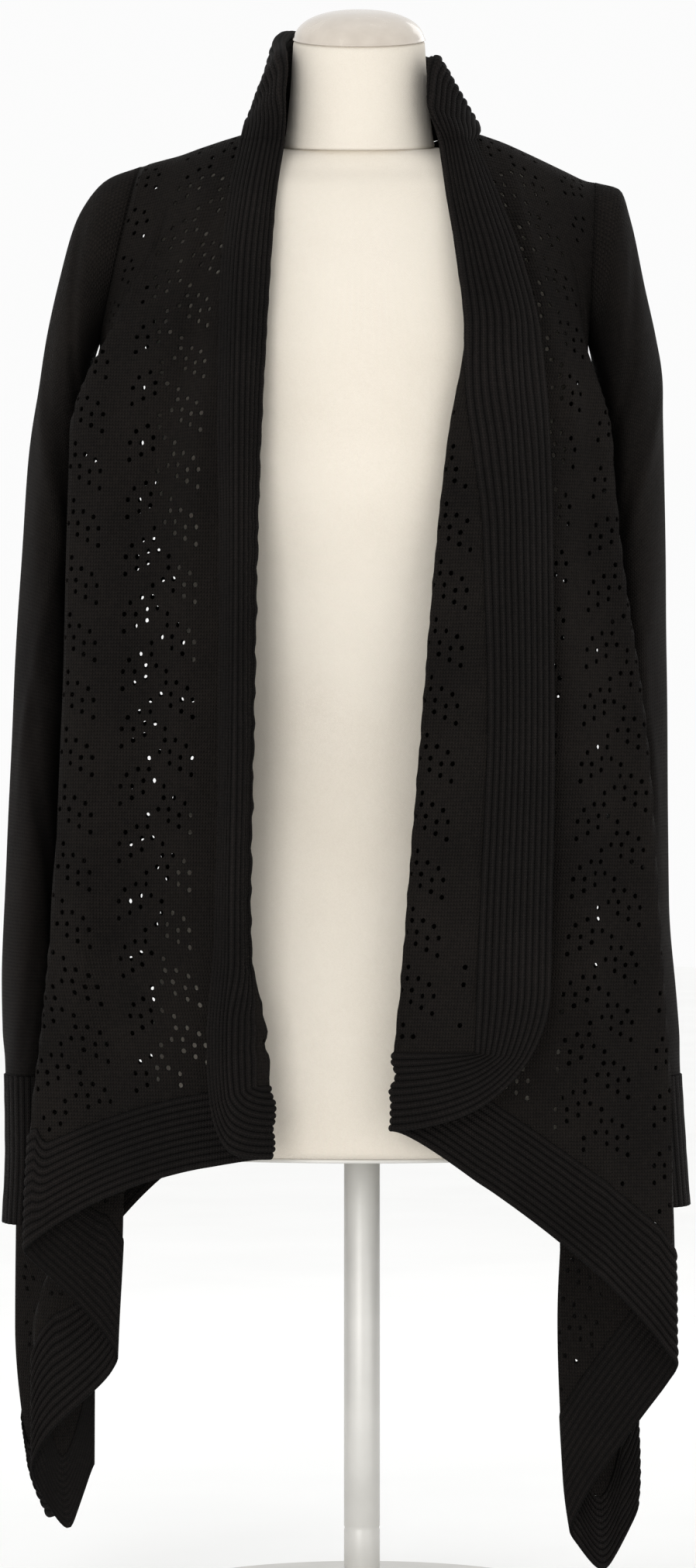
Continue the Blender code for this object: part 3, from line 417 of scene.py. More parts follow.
class Panel:
    # A panel of cloth: a place along it, s, and a level give a point in millimetres.

    def __init__(self, side, knots, xTable, yTable, top, hem, band=None, creaseTable=()):
        self.side = side
        self.knots = np.array(knots, float)
        self.xTable = xTable
        self.yTable = yTable
        self.top = np.array(top, float)
        self.hem = hem
        self.band = band
        self.creaseTable = creaseTable

    def ownKeys(self, level):
        # The panel's key lines at each level. Beside the armhole the last is its ellipse.
        x = byLevel(self.xTable, level) * self.side
        y = byLevel(self.yTable, level)
        holeX, opening = armhole(self.side, level)
        yoke = level > armholeBottom
        x[:, -1] = np.where(yoke, holeX, x[:, -1])
        y[:, -1] = np.where(yoke, -opening, y[:, -1])
        return x, y

    def keys(self, level):
        # The key lines and one beyond the seam: the back's first line or, beside the
        # armhole, the seam's own line carried straight on, 2 last - one before.
        x, y = self.ownKeys(level)
        pick = 0 if self.side > 0 else -1
        beyondX = byLevel(backX, level)[:, pick]
        beyondY = byLevel(backY, level)[:, pick]
        yoke = smoothStep((level - armholeBottom) / yokeBlend)
        beyondX = beyondX + (2 * x[:, -1] - x[:, -2] - beyondX) * yoke
        beyondY = beyondY + (2 * y[:, -1] - y[:, -2] - beyondY) * yoke
        return np.column_stack([x, beyondX]), np.column_stack([y, beyondY])

    def height(self, s, level):
        # Below the armhole a level is a height; above it the levels arch to the shoulder.
        top = pchip(self.knots, self.top, s)
        arched = armholeBottom + (top - armholeBottom) * yokeShare(level)
        return np.where(level > armholeBottom, level + (arched - level) * self.arch(s), level)

    def arch(self, s):
        # 0 on the lapel and 1 from the next key line on, eased between them.
        return smoothStep((s - self.knots[2]) / (self.knots[3] - self.knots[2]))

    def point(self, s, level):
        # X and Y from the rounded key lines of the level, Z from its height.
        s, level = np.broadcast_arrays(np.asarray(s, float), np.asarray(level, float))
        shape = s.shape
        s, level = s.ravel(), level.ravel()
        knots, xKeys, yKeys = roundFolds(self.knots, *self.keys(level))
        x = pchipEach(knots, xKeys, s)
        y = pchipEach(knots, yKeys, s)
        return np.stack([x, y, self.height(s, level)], axis=-1).reshape(shape + (3,))

    def normal(self, s, level):
        # Unit vectors out of the cloth's right side.
        along = self.point(s + 0.8, level) - self.point(s - 0.8, level)
        above = np.where(level > armholeBottom, np.minimum(level + 2.0, yokeTop), level)
        up = self.point(s, above) - self.point(s, level - 2.0)
        return unit(np.cross(along, up) * self.side)

    def hemHeight(self, s):
        # Read off the hem's table.
        return curveAt(self.hem, s)

    def seamHeight(self, s):
        # Top of the hem band, which keeps its width where the hem slants: the hem's height
        # + the width * sqrt(1 + slant²), up to 1.6 times the width.
        reach = 16.0
        a = np.clip(s - reach, self.knots[0], self.knots[-1])
        b = np.clip(s + reach, self.knots[0], self.knots[-1])
        z = self.hemHeight(s)
        run = (self.point(b, z) - self.point(a, z))[..., :2]
        run = np.maximum(np.linalg.norm(run, axis=-1), 12.0)
        slant = (self.hemHeight(b) - self.hemHeight(a)) / run
        return z + bandWidth * np.minimum(np.sqrt(1 + slant * slant), 1.6)

    def bandSeam(self, level):
        # The lapel's width times the band's share of it.
        return self.knots[2] * curveAt(self.band, level)

    def lift(self, s, level):
        # How far creases move the cloth along its normal: none at the side seams, the
        # armholes and the shoulders, and small bumps along the fold lower down.
        shoulders = smoothStep((yokeTop - level) / shoulderFade)
        seams = smoothStep((self.knots[-2] - s) / seamFade) * shoulders
        low = np.exp(-((level - 372.0) / 42.0) ** 2)
        bumps = bumpDepth * (ripple(level, self.side * 2.0, 19.0) * (0.3 if self.side > 0 else 0.6)
                             + ripple(level, self.side * 5.0, 27.0) * low * 1.4)
        bumps = bumps * np.exp(-((s - self.knots[2]) / 14.0) ** 2)
        bumps = bumps * (0.3 + 0.7 * smoothStep((900.0 - level) / 260.0))
        return (creaseScale * creases(s, level, self.creaseTable) * seams
                + bumps * shoulders)

    def cloth(self, s, level):
        # The creased middle of the cloth and its outward direction.
        normal = self.normal(s, level)
        return self.point(s, level) + normal * self.lift(s, level)[..., None], normal


class BackPanel(Panel):
    # The back, whose two seams are the fronts' own last key lines.

    def keys(self, level):
        # A line beyond each seam, the seams, and the back's own lines between them.
        x = byLevel(self.xTable, level)
        y = byLevel(self.yTable, level)
        yoke = smoothStep((level - armholeBottom) / yokeBlend)
        ends = []
        for front, near in ((leftFront, 0), (rightFront, -1)):
            frontX, frontY = front.ownKeys(level)
            seamX = frontX[:, -1]
            seamY = np.where(level > armholeBottom, -frontY[:, -1], frontY[:, -1])
            beyondX = frontX[:, -2] + (2 * seamX - x[:, near] - frontX[:, -2]) * yoke
            beyondY = frontY[:, -2] + (2 * seamY - y[:, near] - frontY[:, -2]) * yoke
            ends.append((seamX, seamY, beyondX, beyondY))
        left, right = ends
        return (np.column_stack([left[2], left[0], x, right[0], right[2]]),
                np.column_stack([left[3], left[1], y, right[1], right[3]]))

    def arch(self, s):
        # The whole top edge arches.
        return np.ones_like(s)

    def lift(self, s, level):
        # Creases alone, none at either seam or at the shoulders.
        seams = (smoothStep((s - self.knots[1]) / seamFade)
                 * smoothStep((self.knots[-2] - s) / seamFade)
                 * smoothStep((yokeTop - level) / shoulderFade))
        return creaseScale * creases(s, level, self.creaseTable) * seams


# Creases of the panels. Columns: place, height, degrees from upright, length, width, depth
leftCreases = (
    (170, 560, 2, 520, 15, -2.6), (205, 470, -2, 560, 13, 1.8), (238, 640, 3, 420, 14, -2.2),
    (305, 430, 2, 520, 12, -2.4), (150, 840, 10, 230, 14, -2.0), (215, 860, -14, 190, 13, 1.8),
    (300, 850, 20, 170, 12, -2.0), (128, 640, -1, 380, 12, 1.6), (190, 300, 0, 240, 13, -2.0),
    (60, 620, 1, 420, 12, -1.4), (30, 780, -3, 260, 10, 1.2), (280, 260, 3, 260, 11, 1.6),
)
rightCreases = (
    (150, 560, -2, 560, 16, -2.8), (182, 430, 2, 520, 13, 1.8), (122, 660, 2, 430, 13, 1.5),
    (230, 520, -3, 480, 12, -2.2), (140, 850, -10, 220, 14, -1.9), (200, 850, 14, 190, 13, 1.8),
    (255, 300, -2, 260, 12, 1.8), (300, 480, 1, 420, 11, -1.8), (175, 330, 0, 230, 13, -2.0),
    (245, 880, -22, 150, 12, -1.6), (380, 300, 2, 320, 10, 1.5), (35, 560, 1, 420, 9, -1.0),
)
backCreases = (
    (470, 560, 2, 560, 17, -2.8), (505, 470, -2, 520, 15, 2.4), (548, 610, 1, 460, 16, -2.2),
    (590, 520, -1, 560, 18, 2.4), (632, 600, 2, 480, 16, -2.6), (672, 500, -2, 560, 15, 2.2),
    (712, 560, 1, 520, 16, -2.6), (500, 880, 24, 200, 16, -1.8), (668, 880, -24, 200, 16, -1.8),
    (545, 940, 62, 130, 12, 1.3), (628, 938, -60, 130, 12, 1.3), (585, 790, 84, 190, 14, -1.4),
    (750, 420, -3, 420, 14, 2.2), (440, 430, 3, 420, 14, 2.0),
)
leftFront = Panel(1, leftKnots, leftX, leftY, leftTop, leftHem, leftBand, leftCreases)
rightFront = Panel(-1, rightKnots, rightX, rightY, rightTop, rightHem, rightBand,
                   rightCreases)
back = BackPanel(1, (340, 386) + backKnots + (801, 850), backX, backY, backTop, backHem,
                 None, backCreases)


def linear(hexColour):
    # sRGB to linear: c/12.92 below 0.04045, else ((c + 0.055)/1.055)^2.4.
    parts = [int(hexColour[k:k + 2], 16) / 255 for k in (1, 3, 5)]
    light = [c / 12.92 if c < 0.04045 else ((c + 0.055) / 1.055) ** 2.4 for c in parts]
    return (*light, 1.0)


def newMaterial(name):
    # A material with its node tree, its shader and a socket of Object coordinates.
    made = bpy.data.materials.new(name)
    made.use_nodes = True
    tree = made.node_tree
    place = addNode(tree, "ShaderNodeTexCoord").outputs["Object"]
    return made, tree, tree.nodes["Principled BSDF"], place


def setInputs(tree, node, inputs):
    # Links each socket, or sets each constant, to the input of that name or number.
    for key, value in inputs.items():
        if isinstance(value, bpy.types.NodeSocket):
            tree.links.new(value, node.inputs[key])
        else:
            node.inputs[key].default_value = value


def addNode(tree, kind, inputs=None, **settings):
    # Adds a node, sets its properties and fills its inputs.
    node = tree.nodes.new(kind)
    for key, value in settings.items():
        setattr(node, key, value)
    setInputs(tree, node, inputs or {})
    return node


def calc(tree, operation, a, b=None):
    # One step of arithmetic on a and b.
    inputs = {0: a} if b is None else {0: a, 1: b}
    return addNode(tree, "ShaderNodeMath", inputs, operation=operation).outputs[0]


def noise(tree, place, scale, detail):
    # Noise from 0 to 1 with so many cells to the metre and so many finer octaves.
    inputs = {"Vector": place, "Scale": scale, "Detail": detail}
    return addNode(tree, "ShaderNodeTexNoise", inputs).outputs[0]


def bumps(tree, strength, distance, height):
    # A normal tilted by the slope of the height, distance metres at height 1.
    inputs = {"Strength": strength, "Distance": distance, "Height": height}
    return addNode(tree, "ShaderNodeBump", inputs).outputs[0]


def clothPlace(tree):
    # The way across and along the cloth, in metres, from the piece's own map.
    cloth = addNode(tree, "ShaderNodeUVMap", uv_map="cloth").outputs[0]
    return addNode(tree, "ShaderNodeSeparateXYZ", {0: cloth}).outputs


def ramp(tree, factor, stops):
    # Straight lines between the colours of the stops: place, colour.
    node = addNode(tree, "ShaderNodeValToRGB", {0: factor})
    elements = node.color_ramp.elements
    while len(elements) < len(stops):
        elements.new(0.5)
    for element, (place, colour) in zip(elements, stops):
        element.position = place
        element.color = linear(colour) if isinstance(colour, str) else colour
    return node.outputs[0]


def knitMaterial(name, settings):
    # Plain knit: chevron rows of stitches along the cloth's own millimetres, with uneven
    # yarn. The row's phase is v/course + the fold of u/wale, and a stitch is its sine.
    # Viscose knit is matt and close to black, with a little sheen at grazing angles. Its colour
    # has painted shade in the low parts of stitches and between rib cords.
    made, tree, shader, place = newMaterial(name)
    across, down = clothPlace(tree)[:2]
    sway = calc(tree, "MULTIPLY", calc(tree, "SUBTRACT", noise(tree, place, 45.0, 2.0), 0.5),
                0.6)
    wales = calc(tree, "MULTIPLY", across, 1.0 / (settings["wale"] * mm))
    wales = calc(tree, "ADD", wales, sway)
    fold = calc(tree, "PINGPONG", wales, 0.5)
    courses = calc(tree, "MULTIPLY", down, 1.0 / (settings["course"] * mm))
    phase = calc(tree, "ADD", courses, calc(tree, "MULTIPLY", fold, 0.9))
    phase = calc(tree, "ADD", phase, sway)
    stitch = calc(tree, "SINE", calc(tree, "MULTIPLY", phase, 2 * math.pi))
    furrow = calc(tree, "SINE", calc(tree, "MULTIPLY", wales, math.pi))
    furrow = calc(tree, "POWER", calc(tree, "ABSOLUTE", furrow), 0.5)
    height = calc(tree, "ADD", calc(tree, "MULTIPLY", stitch, 0.5), furrow)
    fuzz = noise(tree, place, 2600.0, 3.0)
    height = calc(tree, "ADD", height, calc(tree, "MULTIPLY", fuzz, 0.8))
    blotch = calc(tree, "MULTIPLY", noise(tree, place, 14.0, 4.0), 0.5)
    heather = calc(tree, "MULTIPLY", noise(tree, place, 320.0, 3.0), 0.35)
    # The colour follows the stitch height as well as the yarn's blotches and heather, so the
    # furrows and low parts of the stitches get painted shade.
    shade = calc(tree, "ADD", calc(tree, "MULTIPLY", height, 0.2),
                 calc(tree, "ADD", blotch, heather))
    # On ribs the colour darkens in the grooves between cords: painted shade in the recesses,
    # lighter on the cord tops.
    if settings["rib"]:
        share = calc(tree, "MULTIPLY", across, math.pi / (settings["rib"] * mm))
        cord = calc(tree, "POWER", calc(tree, "ABSOLUTE", calc(tree, "SINE", share)), 0.6)
        shade = calc(tree, "ADD", calc(tree, "MULTIPLY", shade, 0.75),
                     calc(tree, "MULTIPLY", calc(tree, "SUBTRACT", cord, 0.75), 0.5))
    setInputs(tree, shader, {
        "Normal": bumps(tree, settings["bump"], 0.0011, height),
        "Base Color": ramp(tree, shade, ((0.1, settings["dark"]), (0.5, settings["middle"]),
                                         (0.95, settings["light"]))),
        "Roughness": calc(tree, "ADD", 0.74, calc(tree, "MULTIPLY", fuzz, 0.2)),
        "Specular IOR Level": settings["gloss"], "Sheen Weight": settings["sheen"],
        "Sheen Roughness": 0.55, "Sheen Tint": linear("#8a8078")})
    return made


linenSettings = {"thread": 1.1, "slub": 900.0, "stain": 5.0, "bump": 0.35, "depth": 0.0003,
                 "colours": ((0.2, "#cbc1b2"), (0.55, "#dbd3c6"), (0.9, "#e4ddd1"))}


def linenMaterial(settings):
    # A fine plain weave: sin(u) * sin(v) for the two threads, and noise for the slubs. Linen
    # is matt, with uneven threads and faint clouds in its bleach.
    made, tree, shader, place = newMaterial("linen_cover_plain_woven")
    turns = 2 * math.pi / (settings["thread"] * mm)
    warp, weft = (calc(tree, "SINE", calc(tree, "MULTIPLY", way, turns))
                  for way in clothPlace(tree)[:2])
    slub = noise(tree, place, settings["slub"], 3.0)
    height = calc(tree, "ADD", calc(tree, "MULTIPLY", warp, weft),
                  calc(tree, "MULTIPLY", slub, 2.0))
    stain = noise(tree, place, settings["stain"], 5.0)
    shade = calc(tree, "ADD", calc(tree, "MULTIPLY", stain, 0.8),
                 calc(tree, "MULTIPLY", slub, 0.25))
    setInputs(tree, shader, {
        "Normal": bumps(tree, settings["bump"], settings["depth"], height),
        "Base Color": ramp(tree, shade, settings["colours"]), "Roughness": 0.86,
        "Specular IOR Level": 0.25, "Sheen Weight": 0.15})
    return made


capSettings = {"smear": 60.0, "colours": ((0.2, "#b8aea2"), (0.8, "#c9c0b4")),
               "rough": ((0.3, (0.16, 0.16, 0.16, 1)), (0.8, (0.34, 0.34, 0.34, 1)))}


def capMaterial(settings):
    # Lacquered plastic: a clear coat over an even colour, with smears in its gloss.
    made, tree, shader, place = newMaterial("cap_lacquered_plastic")
    smear = noise(tree, place, settings["smear"], 5.0)
    setInputs(tree, shader, {"Roughness": ramp(tree, smear, settings["rough"]),
                             "Base Color": ramp(tree, smear, settings["colours"]),
                             "Coat Weight": 0.4})
    return made


metalSettings = {"grain": 1400.0, "wear": 18.0, "bump": 0.12, "depth": 0.0002,
                 "colours": ((0.25, "#c4c2bd"), (0.75, "#d6d4cf"))}


def metalMaterial(settings):
    # Powder-coated steel: a fine orange-peel grain and a satin gloss.
    made, tree, shader, place = newMaterial("stand_powder_coated_steel")
    grain = noise(tree, place, settings["grain"], 2.0)
    wear = noise(tree, place, settings["wear"], 6.0)
    setInputs(tree, shader, {
        "Normal": bumps(tree, settings["bump"], settings["depth"], grain),
        "Base Color": ramp(tree, wear, settings["colours"]), "Metallic": 0.15,
        "Roughness": 0.42})
    return made


def paleMaterial():
    # Matt white paper with a faint cloud in it.
    made, tree, shader, place = newMaterial("studio_paper")
    grain = noise(tree, place, 3.0, 3.0)
    setInputs(tree, shader, {
        "Base Color": ramp(tree, grain, ((0.3, "#fafaf9"), (0.7, "#fdfdfc"))),
        "Roughness": 0.95})
    return made


# Wales and courses are the widths and heights of stitches, and a rib's width is its cord's, also
# the spacing of the painted shade in the grooves of the rib knit's colour.
laceSettings = {"rib": 0, "wale": 2.0, "course": 2.4, "bump": 1.0, "gloss": 0.07,
                "sheen": 0.015, "dark": "#060505", "middle": "#100e0d", "light": "#231f1c"}
ribSettings = {"rib": bandWidth / bandRibs, "wale": bandWidth / bandRibs / 3, "course": 2.0,
               "bump": 1.0, "gloss": 0.08, "sheen": 0.015, "dark": "#060505",
               "middle": "#141211", "light": "#2a2523"}
laceKnit = knitMaterial("black_viscose_fine_plain_knit", laceSettings)
ribKnit = knitMaterial("black_viscose_rib_knit", ribSettings)
linen = linenMaterial(linenSettings)
capFinish = capMaterial(capSettings)
metal = metalMaterial(metalSettings)
print("materials are made", flush=True)


weldReach = 0.00003


def makeMesh(name, points, groups, uv, finish, nodes):
    # One object from points and UVs in millimetres and groups of faces of one size each.
    mesh = bpy.data.meshes.new(name)
    mesh.vertices.add(len(points))
    mesh.vertices.foreach_set("co", (points * mm).astype(np.float32).ravel())
    groups = [g for g in groups if len(g)]
    loops = np.concatenate([g.ravel() for g in groups]).astype(np.int32)
    sizes = np.concatenate([np.full(len(g), g.shape[1]) for g in groups])
    starts = np.concatenate([[0], np.cumsum(sizes)[:-1]]).astype(np.int32)
    mesh.loops.add(len(loops))
    mesh.loops.foreach_set("vertex_index", loops)
    mesh.polygons.add(len(sizes))
    mesh.polygons.foreach_set("loop_start", starts)
    layer = mesh.uv_layers.new(name="cloth")
    layer.data.foreach_set("uv", (uv[loops] * mm).astype(np.float32).ravel())
    mesh.polygons.foreach_set("use_smooth", np.ones(len(sizes), dtype=bool))
    mesh.update(calc_edges=True)
    mesh.validate()
    work = bmesh.new()
    work.from_mesh(mesh)
    bmesh.ops.remove_doubles(work, verts=work.verts, dist=weldReach)
    bmesh.ops.recalc_face_normals(work, faces=work.faces)
    work.to_mesh(mesh)
    work.free()
    mesh.materials.append(finish)
    made = bpy.data.objects.new(name, mesh)
    bpy.context.scene.collection.objects.link(made)
    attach(made, "root")
    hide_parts(*nodes)
    area = sum(p.area for p in mesh.polygons)
    triangles = len(mesh.loops) - 2 * len(mesh.polygons)
    print(name, "triangles", triangles, "area of both sides", round(area, 4), flush=True)
    return made


# Twice the least area of a cell that is kept, in square millimetres
leastCell = 0.1


def wallPiece(name, middle, normal, uv, finish, nodes, thick, raised=None,
              eyelets=None, closed=False, innerStep=1):
    # A shell on a grid of the cloth's middle. The outer points are middle + normal *
    # (thick/2 + raised), the inner ones middle - normal * thick/2 on every innerStep-th
    # column. Cells without area are left out, and eyelet cells get a ring of 8 points.
    rows, columns = middle.shape[:2]
    raised = np.zeros((rows, columns)) if raised is None else raised
    outer = middle + normal * (thick / 2 + raised)[..., None]
    picked = np.arange(0, columns, innerStep)
    inner = (middle - normal * thick / 2)[:, picked]
    points = [outer.reshape(-1, 3), inner.reshape(-1, 3)]
    uvs = [uv.reshape(-1, 2), uv[:, picked].reshape(-1, 2)]
    number = np.arange(rows * columns).reshape(rows, columns)
    under = rows * columns + np.arange(rows * len(picked)).reshape(rows, len(picked))
    flat, flatUv = np.concatenate(points), np.concatenate(uvs)
    front, rear = cells(number), cells(under)
    one, two = middle[1:, 1:] - middle[:-1, :-1], middle[1:, :-1] - middle[:-1, 1:]
    keep = np.linalg.norm(np.cross(one, two), axis=-1) > leastCell
    holes = np.zeros_like(keep) if eyelets is None else eyelets & keep
    if innerStep == 1:
        quads = [front[keep & ~holes], rear[keep & ~holes][:, ::-1]]
    else:
        keep = np.ones_like(keep)
        quads = [front.reshape(-1, 4), rear.reshape(-1, 4)[:, ::-1]]
    pentagons = []
    if holes.any():
        rings = []
        for faces in (front[holes], rear[holes]):
            corner, cornerUv = flat[faces], flatUv[faces]
            turn = np.arange(8) * math.pi / 4
            wide = eyeletReach * (0.84 + 0.16 * ripple(np.arange(len(corner)), 3.0, 7.3))
            u = 0.5 + wide[:, None] * np.cos(turn)
            v = 0.5 - eyeletReach * np.sin(turn) + 0 * u
            share = np.stack([(1 - u) * (1 - v), u * (1 - v), u * v, (1 - u) * v], axis=-1)
            ring = np.einsum("nkc,ncx->nkx", share, corner)
            ringUv = np.einsum("nkc,ncx->nkx", share, cornerUv)
            base = sum(len(p) for p in points)
            points.append(ring.reshape(-1, 3))
            uvs.append(ringUv.reshape(-1, 2))
            place = base + np.arange(len(ring) * 8).reshape(-1, 8)
            rings.append(place)
            # corners a, b, c, d lie at ring numbers 3, 1, 7, 5
            at = (3, 1, 7, 5)
            for k in range(4):
                n = (k + 1) % 4
                middleOf = ((at[k] + at[n]) // 2) if abs(at[k] - at[n]) == 2 else 0
                face = np.stack([faces[:, k], faces[:, n], place[:, at[n]],
                                 place[:, middleOf], place[:, at[k]]], axis=-1)
                pentagons.append(face if len(rings) == 1 else face[:, ::-1])
        for k in range(8):
            n = (k + 1) % 8
            quads.append(np.stack([rings[0][:, n], rings[0][:, k], rings[1][:, k],
                                   rings[1][:, n]], axis=-1))
    # rims along the edges of the cells that are kept
    if innerStep == 1:
        wide = np.pad(keep, 1)
        for lower, upper, a, b, ra, rb in (
                (wide[:-1, 1:-1], wide[1:, 1:-1], number[:, :-1], number[:, 1:],
                 under[:, :-1], under[:, 1:]),
                (wide[1:-1, :-1], wide[1:-1, 1:], number[:-1], number[1:],
                 under[:-1], under[1:])):
            rim = lower != upper
            if closed and a.shape[1] == columns:
                continue
            quads.append(np.stack([a[rim], b[rim], rb[rim], ra[rim]], axis=-1))
    else:
        for side in (0, -1):
            quads.append(np.stack([number[:-1, side], number[1:, side],
                                   under[1:, side], under[:-1, side]], axis=-1))
    groups = [np.concatenate(quads)]
    if pentagons:
        groups.append(np.concatenate(pentagons))
    if innerStep > 1:
        for row in (0, -1):
            groups.append(np.concatenate([number[row], under[row][::-1]])[None, :])
    return makeMesh(name, np.concatenate(points), groups, np.concatenate(uvs), finish,
                    nodes)


def rowLevels(panel, sLine, lowest, step):
    # Levels from the shoulder down, a step apart along the cloth at one place.
    fine = np.linspace(yokeTop, lowest, 1200)
    run = runAlong(panel.point(np.full(len(fine), float(sLine)), fine))
    return np.interp(evenRun(run, step), run, fine)


def endOnSeam(place, level, arc, down, seamOf):
    # Where a column runs below the seam of the hem, its points stop on the seam: the row
    # before and the first row below give the crossing.
    gap = level - seamOf(place)
    below = gap < 0
    first = below.argmax(axis=0)
    column = np.arange(place.shape[1])
    before = np.maximum(first - 1, 0)
    over, under = gap[before, column], gap[first, column]
    share = np.clip(over / np.maximum(over - under, 1e-9), 0, 1)
    row = np.arange(len(place))[:, None]
    late = below[first, column][None, :] & (row >= first[None, :])
    ended = []
    for grid in (place, level, arc, down):
        stop = grid[before, column] + (grid[first, column] - grid[before, column]) * share
        ended.append(np.where(late, stop[None, :], grid))
    return ended


# The lace: one leaf of the repeat, charted on the cells of the knit. Each row
# names the columns of its eyelets.
leafChart = ((0, (1,)), (2, (1, 3)), (3, (5,)), (4, (0, 2)), (5, (4, 6)), (6, (2,)),
             (7, (4,)), (8, (6,)))
leafColumns = 9
leafRows = 10


def leafEyelets(rowCount, columns):
    # The leaf repeats down and across; every second strip is mirrored and half a leaf lower.
    row = np.arange(rowCount)[:, None]
    column = columns[None, :]
    strip = np.floor_divide(column, leafColumns)
    inLeaf = column - strip * leafColumns
    inLeaf = np.where(strip % 2 == 1, leafColumns - 1 - inLeaf, inLeaf)
    down = (row + (strip % 2) * (leafRows // 2)) % leafRows
    found = np.zeros((rowCount, len(columns)), bool)
    for leafRow, leafPlaces in leafChart:
        for leafPlace in leafPlaces:
            found |= (down == leafRow) & (inLeaf == leafPlace)
    return found


def eyeletMask(middle, cell, rowStep, columns, margin):
    # Eyelets of the chart, in whole cells that lie a margin inside the panel's edges.
    size = np.linalg.norm(np.cross(middle[1:, 1:] - middle[:-1, :-1],
                                   middle[1:, :-1] - middle[:-1, 1:]), axis=-1) / 2
    whole = size > 0.55 * cell * rowStep
    deep = whole.copy()
    for k in range(1, margin + 1):
        for axis in (0, 1):
            for way in (-k, k):
                moved = np.roll(whole, way, axis=axis)
                edge = [slice(None)] * 2
                edge[axis] = slice(0, k) if way > 0 else slice(way, None)
                moved[tuple(edge)] = False
                deep &= moved
    return leafEyelets(len(middle) - 1, columns[:-1]) & deep


# Rows are spaced along the line of the cloth at rowsAlong.
frontSettings = {
    "cell": 3.9, "row": 3.9, "thick": 1.2, "margin": 2, "rowsAlong": 200.0,
    "flat": {"left": (0.40, 0.96, 0.192), "right": (0.45, 0.96, 0.200)},
}


def latticeGrid(panel, start, end, origin, seamOf, settings):
    # Middle points, normals, UVs and column numbers of a panel on even rows and columns:
    # along each level the cloth's run is measured, and a column stands at every cell of it.
    places = np.linspace(start, end, 240)
    lowest = float(seamOf(places).min()) - settings["row"]
    levels = rowLevels(panel, settings["rowsAlong"], lowest, settings["row"])
    first = panel.bandSeam(levels) if panel.band else np.full(len(levels), float(start))
    share = np.linspace(0, 1, 460)
    samples = first[:, None] + (end - first)[:, None] * share[None, :]
    line = panel.point(samples, levels[:, None])
    step = np.linalg.norm(np.diff(line, axis=1), axis=2)
    run = np.concatenate([np.zeros((len(levels), 1)), np.cumsum(step, axis=1)], axis=1)
    run = run - np.array([np.interp(origin, places, row)
                          for places, row in zip(samples, run)])[:, None]
    cell = settings["cell"]
    columns = np.arange(math.floor(run.min() / cell), math.ceil(run.max() / cell) + 1)
    place = np.stack([np.interp(columns * cell, row, places)
                      for places, row in zip(samples, run)])
    arc = np.clip(columns[None, :] * cell, run[:, :1], run[:, -1:])
    down = np.arange(len(levels))[:, None] * settings["row"] + 0 * arc
    level = levels[:, None] + 0 * place
    place, level, arc, down = endOnSeam(place, level, arc, down, seamOf)
    middle, normal = panel.cloth(place, level)
    return middle, normal, np.stack([arc, -down], axis=-1), columns


def buildFront(name, panel, settings):
    # A lace front with the lace of its turned lapel.
    fold = panel.knots[2]

    def seamOf(places):
        return panel.seamHeight(np.maximum(places, fold))

    middle, normal, uv, columns = latticeGrid(panel, fold, panel.knots[-2], fold, seamOf,
                                              settings)
    holes = eyeletMask(middle, settings["cell"], settings["row"], columns, settings["margin"])
    made = wallPiece("lace_front_" + name, middle, normal, uv, laceKnit,
                     ["front_" + name], settings["thick"], eyelets=holes)


for name, panel in (("left", leftFront), ("right", rightFront)):
    buildFront(name, panel, frontSettings)

backSettings = {"cell": 3.9, "row": 3.9, "thick": 1.2, "margin": 2,
                "rowsAlong": (back.knots[1] + back.knots[-2]) / 2,
                "flat": (0.44, 0.98, 0.304)}


def buildBack(settings):
    # The lace back, its columns counted from the centre.
    middle, normal, uv, columns = latticeGrid(back, back.knots[1], back.knots[-2],
                                              backCentre, back.seamHeight, settings)
    holes = eyeletMask(middle, settings["cell"], settings["row"], columns, settings["margin"])
    made = wallPiece("lace_back", middle, normal, uv, laceKnit, ["back"],
                     settings["thick"], eyelets=holes)


buildBack(backSettings)

bandSettings = {
    "step": 3.0, "cornerRows": (18, 30), "thick": 1.6, "uneven": 0.12, "ribColumns": 6,
    "flat": {"left": (0.058, 0.78, 0.040), "right": (0.052, 0.78, 0.033)},
}


def ribRise(cross, along, settings, height):
    # Each rib is a round cord: height * sin(pi * share of its width)^0.7, uneven along it.
    turn = np.sin(math.pi * np.mod(cross * bandRibs, 1.0))
    cord = np.clip(turn, 0, 1) ** 0.7
    which = np.floor(cross * bandRibs)
    return height * cord * (1 + settings["uneven"] * ripple(along + which * 37.0, 2.0, 24.0))


def ribbedStrip(name, cloth, railA, railB, face, settings, nodes, width):
    # A strip between two rails of places. Its ribs run along it on the side that face
    # turns to; behind them it is plain.
    cross = np.linspace(0, 1, bandRibs * settings["ribColumns"] + 1)
    place = railA[:, None, 0] + (railB - railA)[:, None, 0] * cross
    level = railA[:, None, 1] + (railB - railA)[:, None, 1] * cross
    middle, normal = cloth(place, level)
    along = runAlong(middle[:, len(cross) // 2])[:, None] + 0 * place
    raised = ribRise(cross[None, :], along, settings, ribHeight)
    uv = np.stack([cross[None, :] * width + 0 * along, along], axis=-1)
    return wallPiece(name, middle, normal * face, uv, ribKnit, nodes,
                     settings["thick"], raised, innerStep=settings["ribColumns"])


